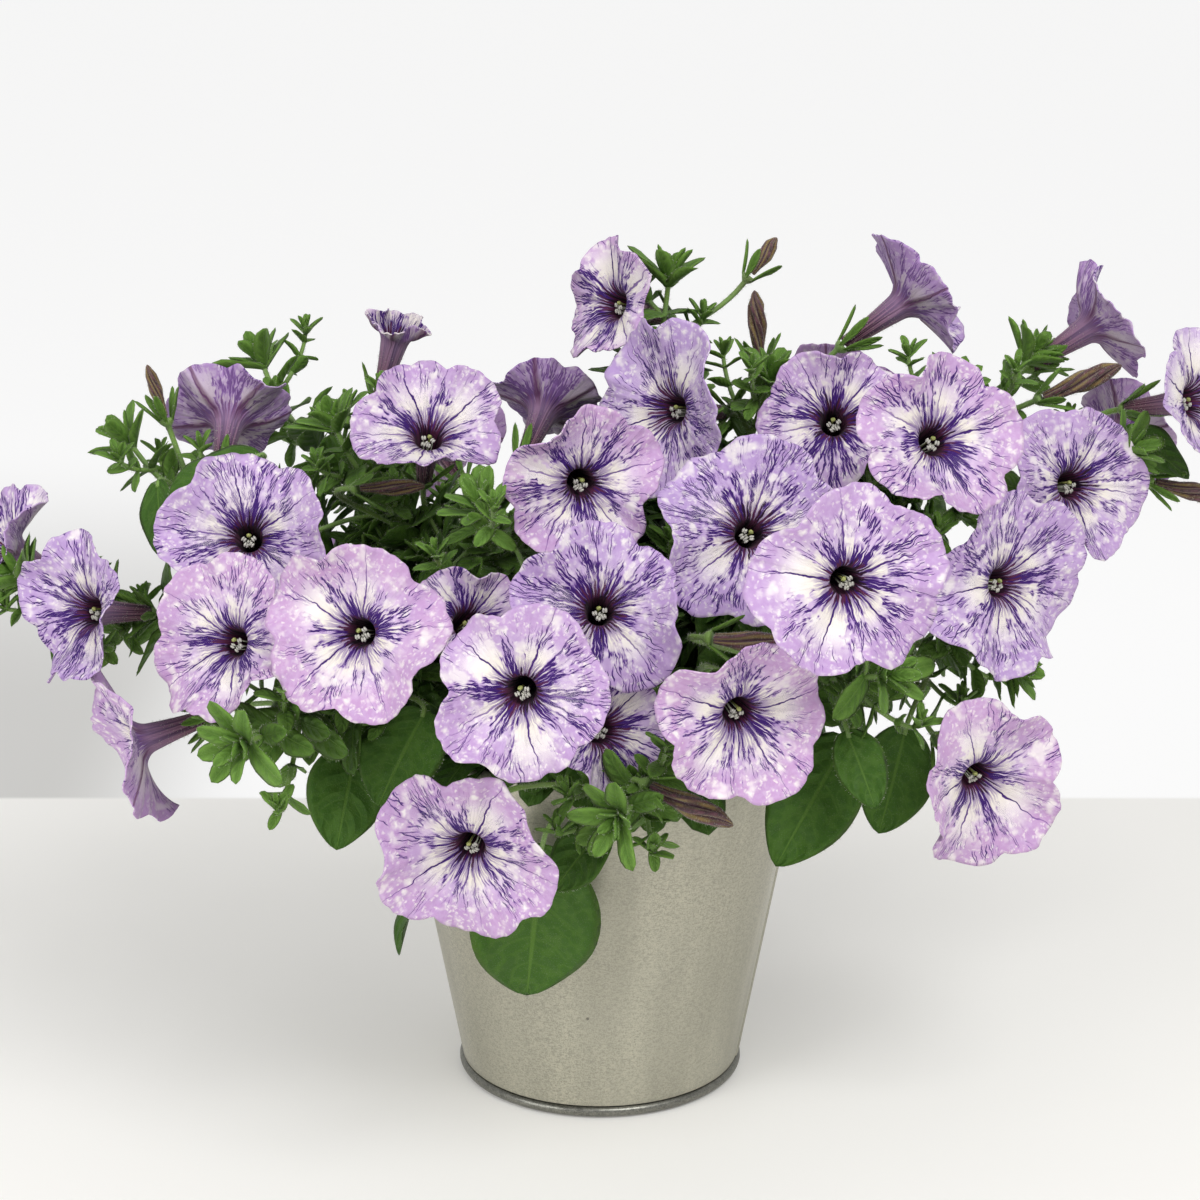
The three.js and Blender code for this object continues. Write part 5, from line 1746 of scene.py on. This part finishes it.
class MakeSoil(bpy.types.Operator):
    """Builds the potting soil, lumpy on top, lower at the wall, with loose crumbs."""
    bl_idname = "petunia.make_soil"
    bl_label = "Soil"

    def execute(self, context):
        inner = [(wall_radius(h) - WALL_THICK - GAP, h) for h in (6, 60, SOIL_TOP - 3)]
        edge = inner[-1][0]
        top = [(edge * s, SOIL_TOP - 1 - 2 * s**6) for s in np.linspace(0.97, 0.03, 22)]
        soil = turned("soil_body", [(0.05, 6), *inner, *top, (0.05, SOIL_TOP - 1)], 96)
        close_up(soil, 0.2)
        flat = np.empty(len(soil.data.vertices) * 3)
        soil.data.vertices.foreach_get("co", flat)
        points = flat.reshape(-1, 3) / MM
        x, y, z = points.T
        bumps = (np.sin(0.43 * x + 1) * np.cos(0.37 * y) + 0.6 * np.sin(0.9 * x + 1.1 * y)
                 + 0.5 * np.cos(1.7 * x - 1.3 * y))
        inside = np.clip((edge - np.hypot(x, y)) / 4, 0, 1) * (z > SOIL_TOP - 8)
        points[:, 2] += 0.5 * bumps * inside
        soil.data.vertices.foreach_set("co", (points * MM).ravel())
        rng = np.random.default_rng(7)
        heap = Heap()
        for _ in range(CRUMBS):
            r, a = (edge - 3) * math.sqrt(rng.random()), rng.random() * FULL
            spot = vec(r * math.cos(a), r * math.sin(a), SOIL_TOP - 0.8 + rng.random() * 0.7)
            axis = unit(rng.normal(0, 1, 3) * (1, 1, 0.4))
            size = rng.uniform(1.2, 3.6)
            add_ball(heap, spot, axis, size * rng.uniform(1, 1.6), size, 0)
        crumbs = heap.make("crumbs", [soil_brown()])
        soil.data.materials.append(soil_brown())
        join_onto(soil, crumbs)
        bpy.ops.object.shade_smooth()
        keep(soil, "soil", "potting_soil")
        return {"FINISHED"}


# ---- stage -------------------------------------------------------------------------
def area_light(name, place, aim, size, power):
    data = bpy.data.lights.new(name, "AREA")
    data.shape, data.size, data.energy = "DISK", size, power
    light = bpy.data.objects.new(name, data)
    bpy.context.scene.collection.objects.link(light)
    light.location = place
    way = unit(vec(*aim) - vec(*place))
    light.rotation_euler = (math.acos(-way[2]), 0, math.atan2(way[1], way[0]) - math.pi / 2)
    return light


# Side of the floor, its drop below the pot's foot and where the far surface starts, in metres.
FLOOR_SIDE, FLOOR_DROP, FAR_START, FAR_END = 14, 0.0003, 0.279, 0.284
# Width of the camera's sensor, in millimetres.
SENSOR = 36


@finish("table_white", Roughness=0.6, Emission_Strength=1.0)
def table_white(g):
    """Pale table top, and behind its edge the bright far surface, with a painted shadow low at the
    left.
    """
    s = settings_of("stage")
    place = g.place()
    x, y, _ = g.split(place)
    far = g.step(y, FAR_START, FAR_END)
    # Painted shadow: the far surface glows less low at the left, as if the plant shaded it there.
    painted_shadow = g.step(x, -0.27, -0.16, 1.0, 0.0) * g.step(y, 0.4, 1.0, 1.0, 0.0)
    tone = g.mix(g.step(g.noise(place, 5.0, 2.0), 0.3, 0.7, 0.0, 0.5), s.floor,
                 tinted(s.floor, 0.97))
    far_glow_and_painted_shadow = g.mix(painted_shadow, (0.69, 0.69, 0.69, 1), (0.33, 0.325, 0.31, 1))
    return {
        "Base_Color": g.mix(far, tone, s.wall),
        "Emission_Color": g.mix(far, tinted(s.floor, 0.19), far_glow_and_painted_shadow),
    }


class SetStage(bpy.types.Operator):
    """Sets the pale table top, the soft light and the camera."""
    bl_idname = "petunia.set_stage"
    bl_label = "Stage"

    def execute(self, context):
        s, scene = context.scene.petunia_stage, context.scene
        bpy.ops.object.select_all(action="DESELECT")
        bpy.ops.mesh.primitive_plane_add(size=FLOOR_SIDE, location=(0, 0, -FLOOR_DROP))
        floor = context.active_object
        floor.name = "table_top"
        floor.data.materials.append(table_white())
        floor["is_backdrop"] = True
        world = bpy.data.worlds.new("studio_white")
        world.use_nodes = True
        sky = world.node_tree.nodes["Background"].inputs
        sky["Color"].default_value = (1, 0.998, 0.99, 1)
        sky["Strength"].default_value = 0.6
        scene.world = world
        area_light("key", (0.55, -1.1, 1.5), (0, 0, 0.15), 1.0, 18)
        area_light("fill", (-1.4, -1.2, 0.8), (0, 0, 0.1), 1.0, 12)
        camera = bpy.data.objects.new("camera", bpy.data.cameras.new("camera"))
        scene.collection.objects.link(camera)
        camera.data.lens, camera.data.sensor_width = s.lens, SENSOR
        camera.location = (0, -s.far, s.high)
        camera.rotation_euler = (math.pi / 2 - s.pitch, 0, 0)
        scene.camera = camera
        scene.view_settings.view_transform = "Standard"
        return {"FINISHED"}


class PetuniaPanel(bpy.types.Panel):
    bl_idname = "VIEW3D_PT_petunia"
    bl_label = "Potted petunia"
    bl_space_type = "VIEW_3D"
    bl_region_type = "UI"
    bl_category = "Petunia"

    def draw(self, context):
        for title, maker in zip(SETTINGS, (MakePot, MakeBlooms, MakeStems, SetStage)):
            box = self.layout.box()
            settings = getattr(context.scene, "petunia_" + title)
            for name in SETTINGS[title].__annotations__:
                box.prop(settings, name)
            box.operator(maker.bl_idname)
        self.layout.operator(MakeSoil.bl_idname)
        self.layout.operator(MakeBuds.bl_idname)


SETTINGS = {
    "pot": PotSettings, "bloom": BloomSettings, "foliage": FoliageSettings,
    "stage": StageSettings,
}
MAKERS = (MakePot, MakeSoil, MakeBlooms, MakeBuds, MakeStems, SetStage)
CLASSES = (*SETTINGS.values(), *MAKERS, PetuniaPanel)


def register():
    for each in CLASSES:
        bpy.utils.register_class(each)
    for title, group in SETTINGS.items():
        setattr(bpy.types.Scene, "petunia_" + title, bpy.props.PointerProperty(type=group))


def unregister():
    for title in SETTINGS:
        delattr(bpy.types.Scene, "petunia_" + title)
    for each in reversed(CLASSES):
        bpy.utils.unregister_class(each)


def main():
    register()
    for maker in MAKERS:
        family, action = maker.bl_idname.split(".")
        getattr(getattr(bpy.ops, family), action)()
    boxes = {"solids": solid_box, "looks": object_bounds()}
    {k: [list(corner) for corner in box] for k, box in boxes.items()}


if __name__ == "__main__":
    main()
